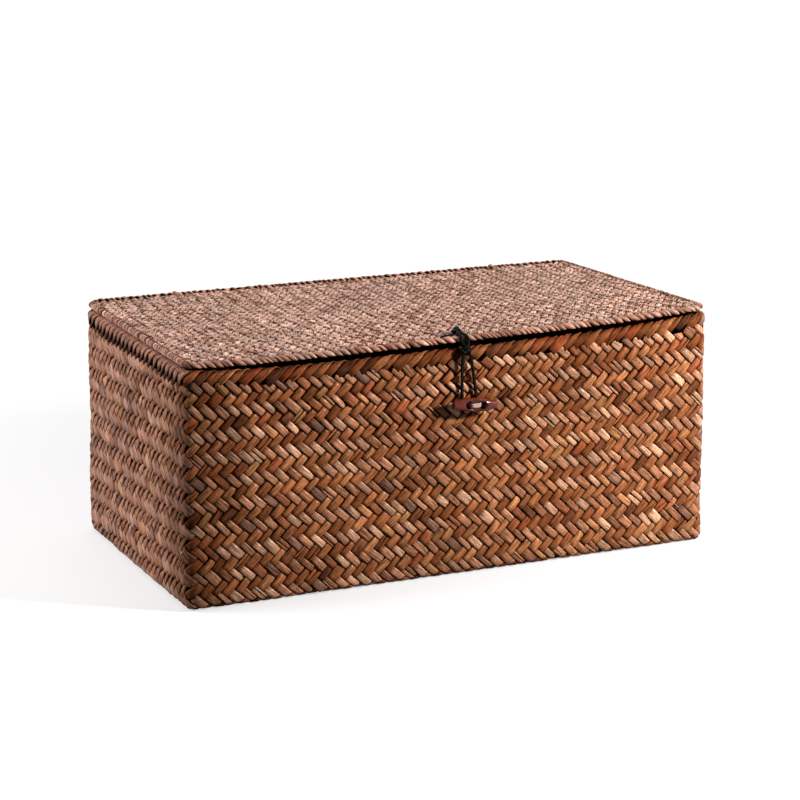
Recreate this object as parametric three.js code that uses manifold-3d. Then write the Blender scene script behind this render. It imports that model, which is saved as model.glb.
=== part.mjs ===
// A hand-woven lidded box: a basket of two woven skins, a flat hinged lid, and a cord loop over a toggle.
// Millimetres, +Z up, +X along the long side, the front towards -Y.
// The origin is the centre of the underside.
import * as THREE from "three";
import { mergeVertices } from "three/addons/utils/BufferGeometryUtils.js";
import Module from "manifold-3d";

const wasm = await Module();
wasm.setup();

// Overall sizes
const boxLength = 350;
const boxWidth = 188;
const rimHeight = 147.6;
const boxCornerRadius = 5;
const lidCornerRadius = 8;
const tightestTurn = 0.6; // least radius of a corner's inner side
const bottomEdgeRadius = 5;
const baseSpread = 2; // how far the foot of each wall stands outside the rim
const rimSag = 4.6; // dip of the soft rim in the middle of the front
const lidSag = 2.1; // dip of the lid's front edge
const sagPower = 4; // how sharply a dip ends towards the corners
const lidClearance = 0.8; // between the lid's border and the rim where nothing sags
const gap = 0.3; // between pieces that touch in the real box
const cutOverrun = 1;

// Woven skins of the basket
const outerSkin = 2.2;
const innerSkin = 2;
const tuckedSkin = 1.3; // a skin's edge where it is pressed flat inside the rim
const outerSkinInset = 0.5; // how far the wall lies behind the rim band's face

// Rim: a folded band of strips over a cane hoop
const rimStrip = 1.3;
const rimBandHeight = 10;

// Lid: two woven panels held by a wrapped border with a cane hoop inside
const lidPanel = 1.3;
const borderRadius = 2.3;
const borderStrip = 0.9;
const borderLipLength = 3;
const lidHoopRadius = 0.9;

// Toggle and the thread that holds it
const toggleX = 7.4;
const toggleDrop = 38.9; // from the top of the rim to its middle
const toggleTilt = 5; // degrees, its right end hangs lower
const toggleLength = 29.2;
const toggleHeight = 8.7;
const toggleEndHeight = 5.2;
const toggleThickness = 7;
const toggleStandoff = 4.2; // between its back and the wall, for the loop and the thread
const toggleHoleSpacing = 9.2;
const toggleHoleRadius = 1.3;
const recessLength = 15;
const recessHeight = 5;
const recessDepth = 1.2;
const threadRadius = 0.5;
const shankRadius = 1.2;
const shankKnotRadius = 2.4;

// Closing cord, from the knot on the lid over the border to the loop round the toggle
const cordRadius = 1.1;
const topKnotX = 2;
const topKnotRadius = 2;
const cordHoleInset = 9; // from the lid's edge to the hole that the cord comes up through
const tailLength = 13;
const tailRadius = 0.6;
const slipKnotX = 3.7;
const slipKnotRadius = 3.1;
const slipKnotDrop = 4; // its centre below the underside of the border
const strandSpacing = 2.1;

// Hinge ties round the lid's border and the rim, on the back
const tieX = 115;
const tieRadius = 0.7;
const tieKnotRadius = 1.5;
const tieDrop = 7.5; // from the top of the rim to the hole through it

// Steps of the rounded outlines and of the round pieces
const cornerSteps = 5;
const longSideSteps = 8;
const shortSideSteps = 4;
const arcSteps = 8;
const cordSides = 8;

const boxPlan = { halfLength: boxLength / 2, halfWidth: boxWidth / 2, cornerRadius: boxCornerRadius };
const lidPlan = { halfLength: boxLength / 2, halfWidth: boxWidth / 2, cornerRadius: lidCornerRadius };
const lidMiddle = rimHeight + lidClearance + borderRadius;
const rimBandWidth = 2 * rimStrip + 2 * tuckedSkin + 3 * gap;
const crownRadius = rimBandWidth / 2;
const crownHeight = rimHeight - crownRadius;
const rimHoopRadius = crownRadius - rimStrip - gap;
const toggleZ = rimHeight - toggleDrop;

const strawTan = new THREE.Color(0xb0824f);
const strawLight = new THREE.Color(0xc4a080);
const strawDark = new THREE.Color(0x9a6434);
const caneColour = new THREE.Color(0xb99a63);
const cordColour = new THREE.Color(0x1f2620);
const threadColour = new THREE.Color(0xd8cdb4);
const toggleWood = new THREE.Color(0x4a2a1c);

function straw(colour) {
  return new THREE.MeshStandardMaterial({ color: colour, roughness: 0.62, metalness: 0 });
}

function smooth(colour, roughness) {
  return new THREE.MeshStandardMaterial({ color: colour, roughness, metalness: 0 });
}

// One ring of points round a rounded rectangle that lies `outset` outside the plan.
// It runs counter-clockwise from above. Its corners stay a little round however far inside it lies.
function ringPoints(plan, outset) {
  const corners = [[1, -1], [1, 1], [-1, 1], [-1, -1]];
  const radius = Math.max(plan.cornerRadius + outset, tightestTurn);
  const centreX = plan.halfLength + outset - radius;
  const centreY = plan.halfWidth + outset - radius;
  const points = [];
  corners.forEach(([signX, signY], side) => {
    for (let step = 0; step <= cornerSteps; step++) {
      const angle = (side - 1 + step / cornerSteps) * (Math.PI / 2);
      points.push(new THREE.Vector2(
        signX * centreX + radius * Math.cos(angle),
        signY * centreY + radius * Math.sin(angle),
      ));
    }
    const [nextX, nextY] = corners[(side + 1) % corners.length];
    const steps = nextX === signX ? shortSideSteps : longSideSteps;
    const from = points[points.length - 1];
    const run = new THREE.Vector2((nextX - signX) * centreX, (nextY - signY) * centreY);
    for (let step = 1; step < steps; step++) points.push(from.clone().addScaledVector(run, step / steps));
  });
  return points;
}

// A profile of [outset, height] points carried round a plan. It runs up the outside and down the inside.
// A profile that closes on itself makes a hoop, and an open one is closed by a flat face at each end.
function carriedRound(plan, profile, isOpen, dip) {
  const positions = [];
  const faces = [];
  const rings = profile.map(([outset, height]) => {
    const start = positions.length / 3;
    for (const p of ringPoints(plan, outset)) positions.push(p.x, p.y, height - dip(p.x, p.y, height));
    return start;
  });
  const count = ringPoints(plan, 0).length;
  const spans = isOpen ? rings.length - 1 : rings.length;
  for (let span = 0; span < spans; span++) {
    const low = rings[span];
    const high = rings[(span + 1) % rings.length];
    for (let j = 0; j < count; j++) {
      const k = (j + 1) % count;
      faces.push(low + j, low + k, high + k, low + j, high + k, high + j);
    }
  }
  if (isOpen) {
    const last = rings.length - 1;
    [[0, true], [last, false]].forEach(([ring, isUnderside]) => {
      const centre = positions.length / 3;
      const height = profile[ring][1];
      positions.push(0, 0, height - dip(0, 0, height));
      for (let j = 0; j < count; j++) {
        const k = (j + 1) % count;
        const [first, second] = isUnderside ? [k, j] : [j, k];
        faces.push(centre, rings[ring] + first, rings[ring] + second);
      }
    });
  }
  const geometry = new THREE.BufferGeometry();
  geometry.setAttribute("position", new THREE.Float32BufferAttribute(positions, 3));
  geometry.setIndex(faces);
  return geometry;
}

// The share of a dip that reaches a place.
// It is all of it in the middle of the front, and none at the ends or the back.
function dipShare(plan, x, y) {
  const along = Math.max(0, 1 - (x / plan.halfLength) ** sagPower);
  const forward = (plan.halfWidth - y) / (2 * plan.halfWidth);
  return along * forward ** 2;
}

function boxDip(x, y, z) {
  return rimSag * dipShare(boxPlan, x, y) * (z / rimHeight) ** 2;
}

function lidDip(x, y) {
  return lidSag * dipShare(lidPlan, x, y);
}

// Outset of the wall at a height, for the slight spread of the basket towards its foot.
function spreadAt(height) {
  return baseSpread * (1 - height / rimHeight);
}

function wallProfile(points) {
  return points.map(([outset, height]) => [outset + spreadAt(height), height]);
}

// Points of an arc in a profile, from one angle to another in degrees.
function arc(centreOutset, centreHeight, radius, from, to, steps) {
  return Array.from({ length: steps + 1 }, (_, step) => {
    const angle = THREE.MathUtils.degToRad(THREE.MathUtils.lerp(from, to, step / steps));
    return [centreOutset + radius * Math.cos(angle), centreHeight + radius * Math.sin(angle)];
  });
}

function solidOf(geometry) {
  const bare = geometry.clone();
  bare.deleteAttribute("normal");
  bare.deleteAttribute("uv");
  const merged = mergeVertices(bare);
  return new wasm.Manifold(new wasm.Mesh({
    numProp: 3,
    vertProperties: merged.attributes.position.array,
    triVerts: new Uint32Array(merged.index.array),
  }));
}

function geometryOf(solid) {
  const made = solid.getMesh();
  const geometry = new THREE.BufferGeometry();
  geometry.setAttribute("position", new THREE.BufferAttribute(made.vertProperties, 3));
  geometry.setIndex(new THREE.BufferAttribute(made.triVerts, 1));
  return geometry;
}

function cut(geometry, tools) {
  return geometryOf(tools.reduce((left, tool) => left.subtract(solidOf(tool)), solidOf(geometry)));
}

function join(geometries) {
  const [first, ...others] = geometries.map(solidOf);
  return geometryOf(others.reduce((sum, other) => sum.add(other), first));
}

// A round cord along a smooth curve through the points.
function cord(points, radius, steps) {
  const section = new THREE.Shape(
    Array.from({ length: cordSides }, (_, side) => {
      const angle = (side / cordSides) * 2 * Math.PI;
      return new THREE.Vector2(radius * Math.cos(angle), radius * Math.sin(angle));
    }),
  );
  const path = new THREE.CatmullRomCurve3(points, false, "centripetal");
  return new THREE.ExtrudeGeometry(section, { steps, extrudePath: path, bevelEnabled: false });
}

function knot(radius, centre) {
  return new THREE.SphereGeometry(radius, 12, 8).translate(centre.x, centre.y, centre.z);
}

// A round cutter along Y or Z between two places.
function drill(radius, from, to) {
  const run = new THREE.Vector3().subVectors(to, from);
  const tool = new THREE.CylinderGeometry(radius, radius, run.length(), 12);
  const upright = new THREE.Vector3(0, 1, 0);
  tool.applyQuaternion(new THREE.Quaternion().setFromUnitVectors(upright, run.clone().normalize()));
  return tool.translate((from.x + to.x) / 2, (from.y + to.y) / 2, (from.z + to.z) / 2);
}

// Holes through the back wall for the hinge ties, and through the front wall for the toggle's thread.
const tieHoleHeight = rimHeight - tieDrop;
const backFace = boxPlan.halfWidth + spreadAt(tieHoleHeight);
const tieHoles = [-tieX, tieX].map((x) => drill(
  tieRadius + gap,
  new THREE.Vector3(x, backFace - rimBandWidth - cutOverrun, tieHoleHeight),
  new THREE.Vector3(x, backFace + cutOverrun, tieHoleHeight),
));
const frontFace = boxPlan.halfWidth - outerSkinInset + spreadAt(toggleZ);
const liningFace = frontFace - outerSkin - gap - innerSkin;
const shankHole = drill(
  shankRadius + gap,
  new THREE.Vector3(toggleX, -frontFace - cutOverrun, toggleZ),
  new THREE.Vector3(toggleX, -liningFace + cutOverrun, toggleZ),
);

// The rounded edge between floor and walls, at one of the skins' radii.
function footArc(radius, from, to) {
  return arc(-outerSkinInset - bottomEdgeRadius, bottomEdgeRadius, radius, from, to, arcSteps / 2);
}

// The outer basket: floor and walls in one weave, its upper edge pressed flat inside the rim band.
function outerBasket() {
  const tuckOutside = -rimStrip - gap;
  const bandFoot = rimHeight - rimBandHeight;
  const tuckTop = crownHeight - rimHoopRadius - gap;
  const inside = -outerSkinInset - outerSkin;
  const profile = wallProfile([
    ...footArc(bottomEdgeRadius, -90, 0),
    [-outerSkinInset, rimHeight / 2],
    [-outerSkinInset, bandFoot - gap - rimStrip],
    [tuckOutside, bandFoot - gap],
    [tuckOutside, tuckTop],
    [tuckOutside - tuckedSkin, tuckTop],
    [tuckOutside - tuckedSkin, bandFoot],
    [inside, bandFoot - gap - rimStrip],
    [inside, rimHeight / 2],
    ...footArc(bottomEdgeRadius - outerSkin, 0, -90),
  ]);
  return cut(carriedRound(boxPlan, profile, true, boxDip), [shankHole, ...tieHoles]);
}

// The lining: a second basket that lies inside the first.
function innerBasket() {
  const outside = -outerSkinInset - outerSkin - gap;
  const tuckOutside = -rimStrip - tuckedSkin - 2 * gap;
  const bandFoot = rimHeight - rimBandHeight;
  const tuckTop = crownHeight - rimHoopRadius - gap;
  const edgeRadius = bottomEdgeRadius - outerSkin - gap;
  const profile = wallProfile([
    ...footArc(edgeRadius, -90, 0),
    [outside, rimHeight / 2],
    [outside, bandFoot - gap - rimStrip],
    [tuckOutside, bandFoot],
    [tuckOutside, tuckTop],
    [tuckOutside - tuckedSkin, tuckTop],
    [tuckOutside - tuckedSkin, bandFoot - gap],
    [outside - innerSkin, bandFoot - gap - rimStrip],
    [outside - innerSkin, rimHeight / 2],
    ...footArc(edgeRadius - innerSkin, 0, -90),
  ]);
  return cut(carriedRound(boxPlan, profile, true, boxDip), [shankHole, ...tieHoles]);
}

// The rim band: strips folded over the hoop and down both sides of the wall.
function rimBand() {
  const bandFoot = rimHeight - rimBandHeight;
  const profile = wallProfile([
    [0, bandFoot],
    ...arc(-crownRadius, crownHeight, crownRadius, 0, 180, arcSteps),
    [-rimBandWidth, bandFoot],
    [-rimBandWidth + rimStrip, bandFoot],
    ...arc(-crownRadius, crownHeight, crownRadius - rimStrip, 180, 0, arcSteps),
    [-rimStrip, bandFoot],
  ]);
  return cut(carriedRound(boxPlan, profile, false, boxDip), tieHoles);
}

function rimHoop() {
  const circle = arc(-crownRadius, crownHeight, rimHoopRadius, 0, 360, arcSteps).slice(0, -1);
  return carriedRound(boxPlan, wallProfile(circle), false, boxDip);
}

// The lid's border: strips wrapped round the hoop, with lips that close on the two panels.
const borderChannel = lidPanel + 3 * gap / 2;
const panelInset = borderRadius + lidHoopRadius + gap;
const borderInset = borderRadius + borderLipLength;

function lidBorder() {
  const lipThickness = borderStrip / 2;
  const profile = [
    [-borderInset, lidMiddle - borderChannel - lipThickness],
    ...arc(-borderRadius, lidMiddle, borderRadius, -90, 90, arcSteps),
    [-borderInset, lidMiddle + borderChannel + lipThickness],
    [-borderInset, lidMiddle + borderChannel],
    [-borderStrip, lidMiddle + borderChannel - borderStrip / 2],
    [-borderStrip, lidMiddle - borderChannel + borderStrip / 2],
    [-borderInset, lidMiddle - borderChannel],
  ];
  return carriedRound(lidPlan, profile, false, lidDip);
}

function lidHoop() {
  const circle = arc(-borderRadius, lidMiddle, lidHoopRadius, 0, 360, arcSteps).slice(0, -1);
  return carriedRound(lidPlan, circle, false, lidDip);
}

const cordHoleY = -lidPlan.halfWidth + cordHoleInset;
const tieHoleY = lidPlan.halfWidth - cordHoleInset;
const lidHoles = [
  { x: topKnotX, y: cordHoleY, radius: cordRadius + gap },
  { x: -tieX, y: tieHoleY, radius: tieRadius + gap },
  { x: tieX, y: tieHoleY, radius: tieRadius + gap },
].map(({ x, y, radius }) => drill(
  radius,
  new THREE.Vector3(x, y, lidMiddle - lidSag - borderRadius),
  new THREE.Vector3(x, y, lidMiddle + borderRadius),
));

// One woven panel of the lid, from its underside to its top face.
function lidSheet(low, high) {
  return cut(carriedRound(lidPlan, [[-panelInset, low], [-panelInset, high]], true, lidDip), lidHoles);
}

// The toggle: a spindle of carved wood with flat ends, a shallow oval recess and two holes.
const toggleBack = -frontFace - toggleStandoff;
const toggleMiddle = toggleBack - toggleThickness / 2;

function hungOnWall(geometry) {
  return geometry.rotateY(THREE.MathUtils.degToRad(toggleTilt)).translate(toggleX, toggleMiddle, toggleZ);
}

function toggleButton() {
  const flatten = toggleThickness / toggleHeight;
  const steps = 2 * arcSteps;
  const outline = Array.from({ length: steps + 1 }, (_, step) => {
    const along = (step / steps - 1 / 2) * toggleLength;
    const swell = Math.cos((Math.PI * along) / toggleLength);
    return new THREE.Vector2((toggleEndHeight + (toggleHeight - toggleEndHeight) * swell) / 2, along);
  });
  const [start, end] = [-1, 1].map((side) => new THREE.Vector2(0, (side * toggleLength) / 2));
  const profile = [start, ...outline, end];
  const body = new THREE.LatheGeometry(profile, 24).rotateZ(-Math.PI / 2).scale(1, flatten, 1);
  const recess = new THREE.SphereGeometry(1, 20, 12).scale(recessLength / 2, recessDepth, recessHeight / 2);
  recess.translate(0, -toggleThickness / 2, 0);
  const holes = [-1, 1].map((side) => drill(
    toggleHoleRadius,
    new THREE.Vector3((side * toggleHoleSpacing) / 2, -toggleThickness, 0),
    new THREE.Vector3((side * toggleHoleSpacing) / 2, toggleThickness, 0),
  ));
  return hungOnWall(cut(body, [recess, ...holes]));
}

// The stitch: from one side of the shank, up through one hole, across the recess and back through the other.
function toggleStitch() {
  const half = toggleHoleSpacing / 2;
  const behind = toggleThickness / 2 + gap + threadRadius;
  const across = -toggleThickness / 2 + recessDepth - gap - threadRadius;
  const start = shankRadius + gap;
  const points = [
    [-start, behind],
    [-half / 2 - start / 2, behind],
    [-half, behind - threadRadius],
    [-half, 0],
    [-half, across + threadRadius],
    [-half + threadRadius, across],
    [0, across],
    [half - threadRadius, across],
    [half, across + threadRadius],
    [half, 0],
    [half, behind - threadRadius],
    [half / 2 + start / 2, behind],
    [start, behind],
  ].map(([x, y]) => new THREE.Vector3(x, y, 0));
  return hungOnWall(cord(points, threadRadius, 40));
}

// The shank: the thread wound into a stem, through both skins to a knot inside.
function toggleShank() {
  const inner = -liningFace + gap + shankKnotRadius;
  const stem = drill(
    shankRadius,
    new THREE.Vector3(toggleX, toggleBack + gap, toggleZ),
    new THREE.Vector3(toggleX, inner, toggleZ),
  );
  return join([stem, knot(shankKnotRadius, new THREE.Vector3(toggleX, inner, toggleZ))]);
}

// The closing cord on the lid. Its places follow the border, as it sags in the middle of the front.
const frontBorderY = -lidPlan.halfWidth + borderRadius;
const frontBorderZ = lidMiddle - lidDip(0, -lidPlan.halfWidth);
const cordTurn = borderRadius + gap + cordRadius;
const lidTop = lidMiddle - lidDip(0, cordHoleY) + gap / 2 + lidPanel;
const topKnotCentre = new THREE.Vector3(topKnotX, cordHoleY, lidTop + gap + topKnotRadius);
const slipKnotCentre = new THREE.Vector3(
  slipKnotX,
  -boxPlan.halfWidth - 2 * gap - slipKnotRadius,
  frontBorderZ - borderRadius - slipKnotDrop,
);

function roundBorder(degrees) {
  const angle = THREE.MathUtils.degToRad(degrees);
  const x = THREE.MathUtils.lerp(topKnotX, slipKnotX, degrees / 180);
  const y = frontBorderY + cordTurn * Math.cos(angle);
  return new THREE.Vector3(x, y, frontBorderZ + cordTurn * Math.sin(angle));
}

// The place on the way from one point to another that lies a distance short of the other.
function shortOf(from, to, distance) {
  return to.clone().addScaledVector(new THREE.Vector3().subVectors(from, to).normalize(), distance);
}

function overStrands() {
  const start = shortOf(roundBorder(90), topKnotCentre, topKnotRadius + gap);
  const end = shortOf(roundBorder(180), slipKnotCentre, slipKnotRadius + gap);
  const middle = [90, 120, 150, 180].map(roundBorder);
  return join([-1, 1].map((side) => {
    const shift = new THREE.Vector3((side * strandSpacing) / 2, 0, 0);
    return cord([start, ...middle, end].map((p) => p.clone().add(shift)), cordRadius, 12);
  }));
}

function underStrand() {
  const under = frontBorderZ - borderRadius - gap - cordRadius;
  const points = [
    new THREE.Vector3(slipKnotX, slipKnotCentre.y + slipKnotRadius + gap, under),
    new THREE.Vector3(slipKnotX, frontBorderY, under),
    new THREE.Vector3((slipKnotX + topKnotX) / 2, cordHoleY - 2 * cordRadius, under),
    new THREE.Vector3(topKnotX, cordHoleY - gap, frontBorderZ - cordRadius * 2),
    new THREE.Vector3(topKnotX, cordHoleY, frontBorderZ),
    new THREE.Vector3(topKnotX, cordHoleY, topKnotCentre.z - topKnotRadius - gap),
  ];
  return cord(points, cordRadius, 12);
}

function topKnot() {
  const start = new THREE.Vector3(topKnotX, cordHoleY, lidTop + gap + tailRadius);
  const tail = cord([
    start,
    start.clone().add(new THREE.Vector3(-tailLength / 2, -tailRadius, 0)),
    start.clone().add(new THREE.Vector3(-tailLength, -2 * tailRadius, 0)),
  ], tailRadius, 5);
  return join([knot(topKnotRadius, topKnotCentre), tail]);
}

// The loop: two strands from the slip knot that meet under the toggle's shank, behind the toggle.
// Each place is given as [right of the toggle's middle, out from the wall, above the toggle's middle].
const loopPlaces = [
  [-6, 3.6, 30.3],
  [-6.1, 3, 25],
  [-5.9, 2.2, 15.3],
  [-5.6, 1.7, 5.7],
  [-4.8, 1.5, 0.3],
  [-2.9, 1.5, -2.3],
  [0, 1.5, -2.9],
  [2.8, 1.5, -1.9],
  [4, 1.5, 1.2],
  [3.5, 1.7, 6.7],
  [1.9, 2.2, 16.2],
  [0.1, 3, 25.5],
  [-1.2, 3.6, 30.4],
];

function loopCord() {
  const points = loopPlaces.map(([right, out, up]) => (
    new THREE.Vector3(toggleX + right, -frontFace - out, toggleZ + up)
  ));
  return cord(points, cordRadius, 2 * points.length);
}

// A hinge tie: a ring through the rim and round the lid's border, closed by a knot on the back.
function hingeTie(x) {
  const turn = borderRadius + gap + tieRadius;
  const borderY = lidPlan.halfWidth - borderRadius;
  const outside = lidPlan.halfWidth + gap + tieRadius;
  const overBorder = [20, 55, 90, 110].map((degrees) => {
    const angle = THREE.MathUtils.degToRad(degrees);
    return [borderY + turn * Math.cos(angle), lidMiddle + turn * Math.sin(angle)];
  });
  const knotY = backFace + gap + tieKnotRadius;
  const knotZ = (tieHoleHeight + lidMiddle) / 2;
  const points = [
    [knotY, knotZ],
    [outside, lidMiddle - borderRadius / 2],
    ...overBorder,
    [tieHoleY + tieRadius, lidMiddle + borderRadius + gap + tieRadius / 2],
    [tieHoleY, lidMiddle + lidPanel + tieRadius],
    [tieHoleY, lidMiddle],
    [tieHoleY, rimHeight],
    [tieHoleY, tieHoleHeight + 2 * tieRadius],
    [tieHoleY + tieRadius, tieHoleHeight],
    [backFace - rimBandWidth, tieHoleHeight],
    [backFace + gap, tieHoleHeight],
    [knotY, tieHoleHeight + 2 * tieRadius],
    [knotY, knotZ],
  ].map(([y, z]) => new THREE.Vector3(x, y, z));
  return join([cord(points, tieRadius, 32), knot(tieKnotRadius, new THREE.Vector3(x, knotY, knotZ))]);
}

const box = new THREE.Group();

function add(name, geometry, material) {
  const mesh = new THREE.Mesh(geometry, material);
  mesh.name = name;
  box.add(mesh);
}

add("outer_basket", outerBasket(), straw(strawTan));
add("inner_basket", innerBasket(), straw(strawTan));
add("rim_band", rimBand(), straw(strawDark));
add("rim_hoop", rimHoop(), smooth(caneColour, 0.5));
add("lid_top_panel", lidSheet(lidMiddle + gap / 2, lidMiddle + gap / 2 + lidPanel), straw(strawLight));
add("lid_under_panel", lidSheet(lidMiddle - gap / 2 - lidPanel, lidMiddle - gap / 2), straw(strawLight));
add("lid_border", lidBorder(), straw(strawTan));
add("lid_hoop", lidHoop(), smooth(caneColour, 0.5));
add("toggle_button", toggleButton(), smooth(toggleWood, 0.35));
add("toggle_stitch", toggleStitch(), smooth(threadColour, 0.8));
add("toggle_shank", toggleShank(), smooth(threadColour, 0.8));
add("top_knot", topKnot(), smooth(cordColour, 0.45));
add("over_strands", overStrands(), smooth(cordColour, 0.45));
add("under_strand", underStrand(), smooth(cordColour, 0.45));
add("slip_knot", knot(slipKnotRadius, slipKnotCentre), smooth(cordColour, 0.45));
add("loop_cord", loopCord(), smooth(cordColour, 0.45));
add("hinge_tie_left", hingeTie(-tieX), smooth(threadColour, 0.7));
add("hinge_tie_right", hingeTie(tieX), smooth(threadColour, 0.7));

export default box;
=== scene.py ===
import bmesh
import bpy
import numpy as np
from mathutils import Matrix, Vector


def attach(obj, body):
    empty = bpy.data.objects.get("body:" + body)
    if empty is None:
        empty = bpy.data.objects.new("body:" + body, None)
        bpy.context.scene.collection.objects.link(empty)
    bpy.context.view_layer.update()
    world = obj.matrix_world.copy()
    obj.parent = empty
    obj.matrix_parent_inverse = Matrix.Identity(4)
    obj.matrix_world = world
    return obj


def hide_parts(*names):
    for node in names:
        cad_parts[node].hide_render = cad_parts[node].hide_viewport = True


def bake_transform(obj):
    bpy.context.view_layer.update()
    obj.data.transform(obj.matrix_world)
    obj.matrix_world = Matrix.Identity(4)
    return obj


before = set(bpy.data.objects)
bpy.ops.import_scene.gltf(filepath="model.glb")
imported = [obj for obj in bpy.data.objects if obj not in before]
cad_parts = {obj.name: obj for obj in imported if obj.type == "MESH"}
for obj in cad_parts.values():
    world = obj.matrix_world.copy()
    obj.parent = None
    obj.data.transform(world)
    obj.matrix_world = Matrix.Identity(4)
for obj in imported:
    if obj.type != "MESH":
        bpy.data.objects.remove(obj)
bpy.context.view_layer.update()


def new_object(name, data):
    """An object with its data, put into the scene."""
    made = bpy.data.objects.new(name, data)
    bpy.context.scene.collection.objects.link(made)
    return made


# Camera: it stands to the left of the box and a little above, as in the photograph.
# Its place, lens and turn come from a perspective fit to the corners of the box and lid.
CAMERA_PLACE = (-0.6198, -1.36177, 0.45348)
DOWNWARDS = 0.238386  # angle of the view below the level
RIGHTWARDS = 0.429718  # and to the right of the box's depth
camera_data = bpy.data.cameras.new("camera")
camera_data.sensor_width = 36
camera_data.lens = 107.759
camera_data.clip_start = 0.05
camera = new_object("camera", camera_data)
camera.location = CAMERA_PLACE
camera.rotation_euler = (np.pi / 2 - DOWNWARDS, 0, -RIGHTWARDS)
bpy.context.scene.camera = camera


# Loop of the closing cord: waxed cotton cord laid up from three plies, 2 mm thick, nearly black green.
# It hangs from the slip knot, passes behind the toggle, goes round the toggle's thread and comes back up.
MM = 0.001
CORD_RADIUS = 1.0
CORD_LAY = 5.5  # length in which a ply goes once round the cord
PLY_HOLLOW = 0.86  # share of the radius that is left in the grooves between plies
PLY_SWELL = 0.16  # share that the back of a ply adds
CURVE_STEPS = 24
LOOP_SPACING = 0.45
TOGGLE_PLACE = np.array([7.4, -101.7, 108.7])
WALL_AT_TOGGLE = -94.0
LOOP_PLACES = [  # to the right of the toggle's middle, out from the wall and up
    (-5.7, 3.6, 31.0), (-6.1, 3, 25), (-5.9, 2.2, 15.3), (-5.6, 1.7, 5.7), (-4.8, 1.5, 0.3),
    (-2.9, 1.5, -2.3), (0, 1.5, -2.9), (2.8, 1.5, -1.9), (4, 1.5, 1.2), (3.5, 1.7, 6.7),
    (1.9, 2.2, 16.2), (0.1, 3, 25.5), (-1.2, 3.6, 30.4),
]


def smooth_line(places, spacing):
    """A line through the places with its points evenly spaced. It is a centripetal Catmull-Rom curve: the
    knots lie as far apart as the square root of the distance between places, and each point is a blend of
    two blends of the three lines through the four places round it."""
    p = np.asarray(places, float)
    p = np.vstack([2 * p[0] - p[1], p, 2 * p[-1] - p[-2]])
    knots = np.concatenate([[0], np.cumsum(np.sqrt(np.linalg.norm(np.diff(p, axis=0), axis=1)))])
    t0, t1, t2, t3 = (knots[k:len(knots) - 3 + k, None, None] for k in range(4))
    p0, p1, p2, p3 = (p[k:len(p) - 3 + k, None, :] for k in range(4))
    t = t1 + (t2 - t1) * np.linspace(0, 1, CURVE_STEPS, endpoint=False)[None, :, None]
    a1 = ((t1 - t) * p0 + (t - t0) * p1) / (t1 - t0)
    a2 = ((t2 - t) * p1 + (t - t1) * p2) / (t2 - t1)
    a3 = ((t3 - t) * p2 + (t - t2) * p3) / (t3 - t2)
    b1 = ((t2 - t) * a1 + (t - t0) * a2) / (t2 - t0)
    b2 = ((t3 - t) * a2 + (t - t1) * a3) / (t3 - t1)
    line = (((t2 - t) * b1 + (t - t1) * b2) / (t2 - t1)).reshape(-1, 3)
    line = np.vstack([line, p[-2]])
    run = np.concatenate([[0], np.cumsum(np.linalg.norm(np.diff(line, axis=0), axis=1))])
    stops = np.linspace(0, run[-1], max(2, int(round(run[-1] / spacing)) + 1))
    return np.stack([np.interp(stops, run, line[:, k]) for k in range(3)], axis=1)


def grid_quads(rows, columns, closed_rows=False, closed_columns=False):
    """Quads of a grid of points kept row by row. Each goes one step down the rows, then one along the
    columns. A closed direction joins its last line of points to its first."""
    i = np.arange(rows if closed_rows else rows - 1)[:, None]
    j = np.arange(columns if closed_columns else columns - 1)[None, :]
    k, m = (i + 1) % rows, (j + 1) % columns
    corners = [i * columns + j, k * columns + j, k * columns + m, i * columns + m]
    return np.stack(np.broadcast_arrays(*corners), axis=-1).reshape(-1, 4)


def paired(across, along):
    """UV of a grid of points, from the place of each across and along its strip or cord."""
    return np.stack(np.broadcast_arrays(across, along), axis=-1).reshape(-1, 2)


def tube(line, radius, reference, sides=12, plies=0, lay=1.0, closed=False):
    """Points, quads and UV of a round cord along a line. Each ring is the line's point plus the radius times
    cos a along the reference direction made square to the line, plus sin a along the third direction.
    Plies swell the radius by the size of the cosine of half the plies times (a less the turn so far).
    Open ends are rounded off: there the radius falls as the root of one less the square of the distance."""
    steps = np.linalg.norm(np.diff(line, axis=0), axis=1)
    run = np.concatenate([[0], np.cumsum(steps)])
    along = np.roll(line, -1, 0) - np.roll(line, 1, 0)
    if not closed:
        along[0], along[-1] = line[1] - line[0], line[-1] - line[-2]
    along /= np.linalg.norm(along, axis=1, keepdims=True)
    out = np.asarray(reference, float) - along * (along @ np.asarray(reference, float))[:, None]
    out /= np.linalg.norm(out, axis=1, keepdims=True)
    third = np.cross(out, along)
    a = np.linspace(0, 2 * np.pi, sides, endpoint=False)
    r = np.full((len(line), sides), float(radius))
    if plies:
        round_cord = a[None, :] - 2 * np.pi * run[:, None] / lay
        r *= PLY_HOLLOW + PLY_SWELL * np.abs(np.cos(plies / 2 * round_cord))
    if not closed:
        end = np.minimum(run, run[-1] - run) / radius
        r *= np.sqrt(np.clip(1 - (1 - np.minimum(end, 1)) ** 2, 0.0004, 1))[:, None]
    ring = np.cos(a)[None, :, None] * out[:, None, :] + np.sin(a)[None, :, None] * third[:, None, :]
    points = line[:, None, :] + r[:, :, None] * ring
    quads = grid_quads(len(line), sides, closed, closed_columns=True)
    return points.reshape(-1, 3), quads, paired(a[None, :] / (2 * np.pi), run[:, None])


def gather(parts):
    """Several sets of points, quads and UV as one set, with the quads numbered on from set to set."""
    starts = np.cumsum([0] + [len(p[0]) for p in parts[:-1]])
    points = np.vstack([p[0] for p in parts])
    quads = np.vstack([p[1] + s for p, s in zip(parts, starts)])
    return points, quads, np.vstack([p[2] for p in parts])


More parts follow.
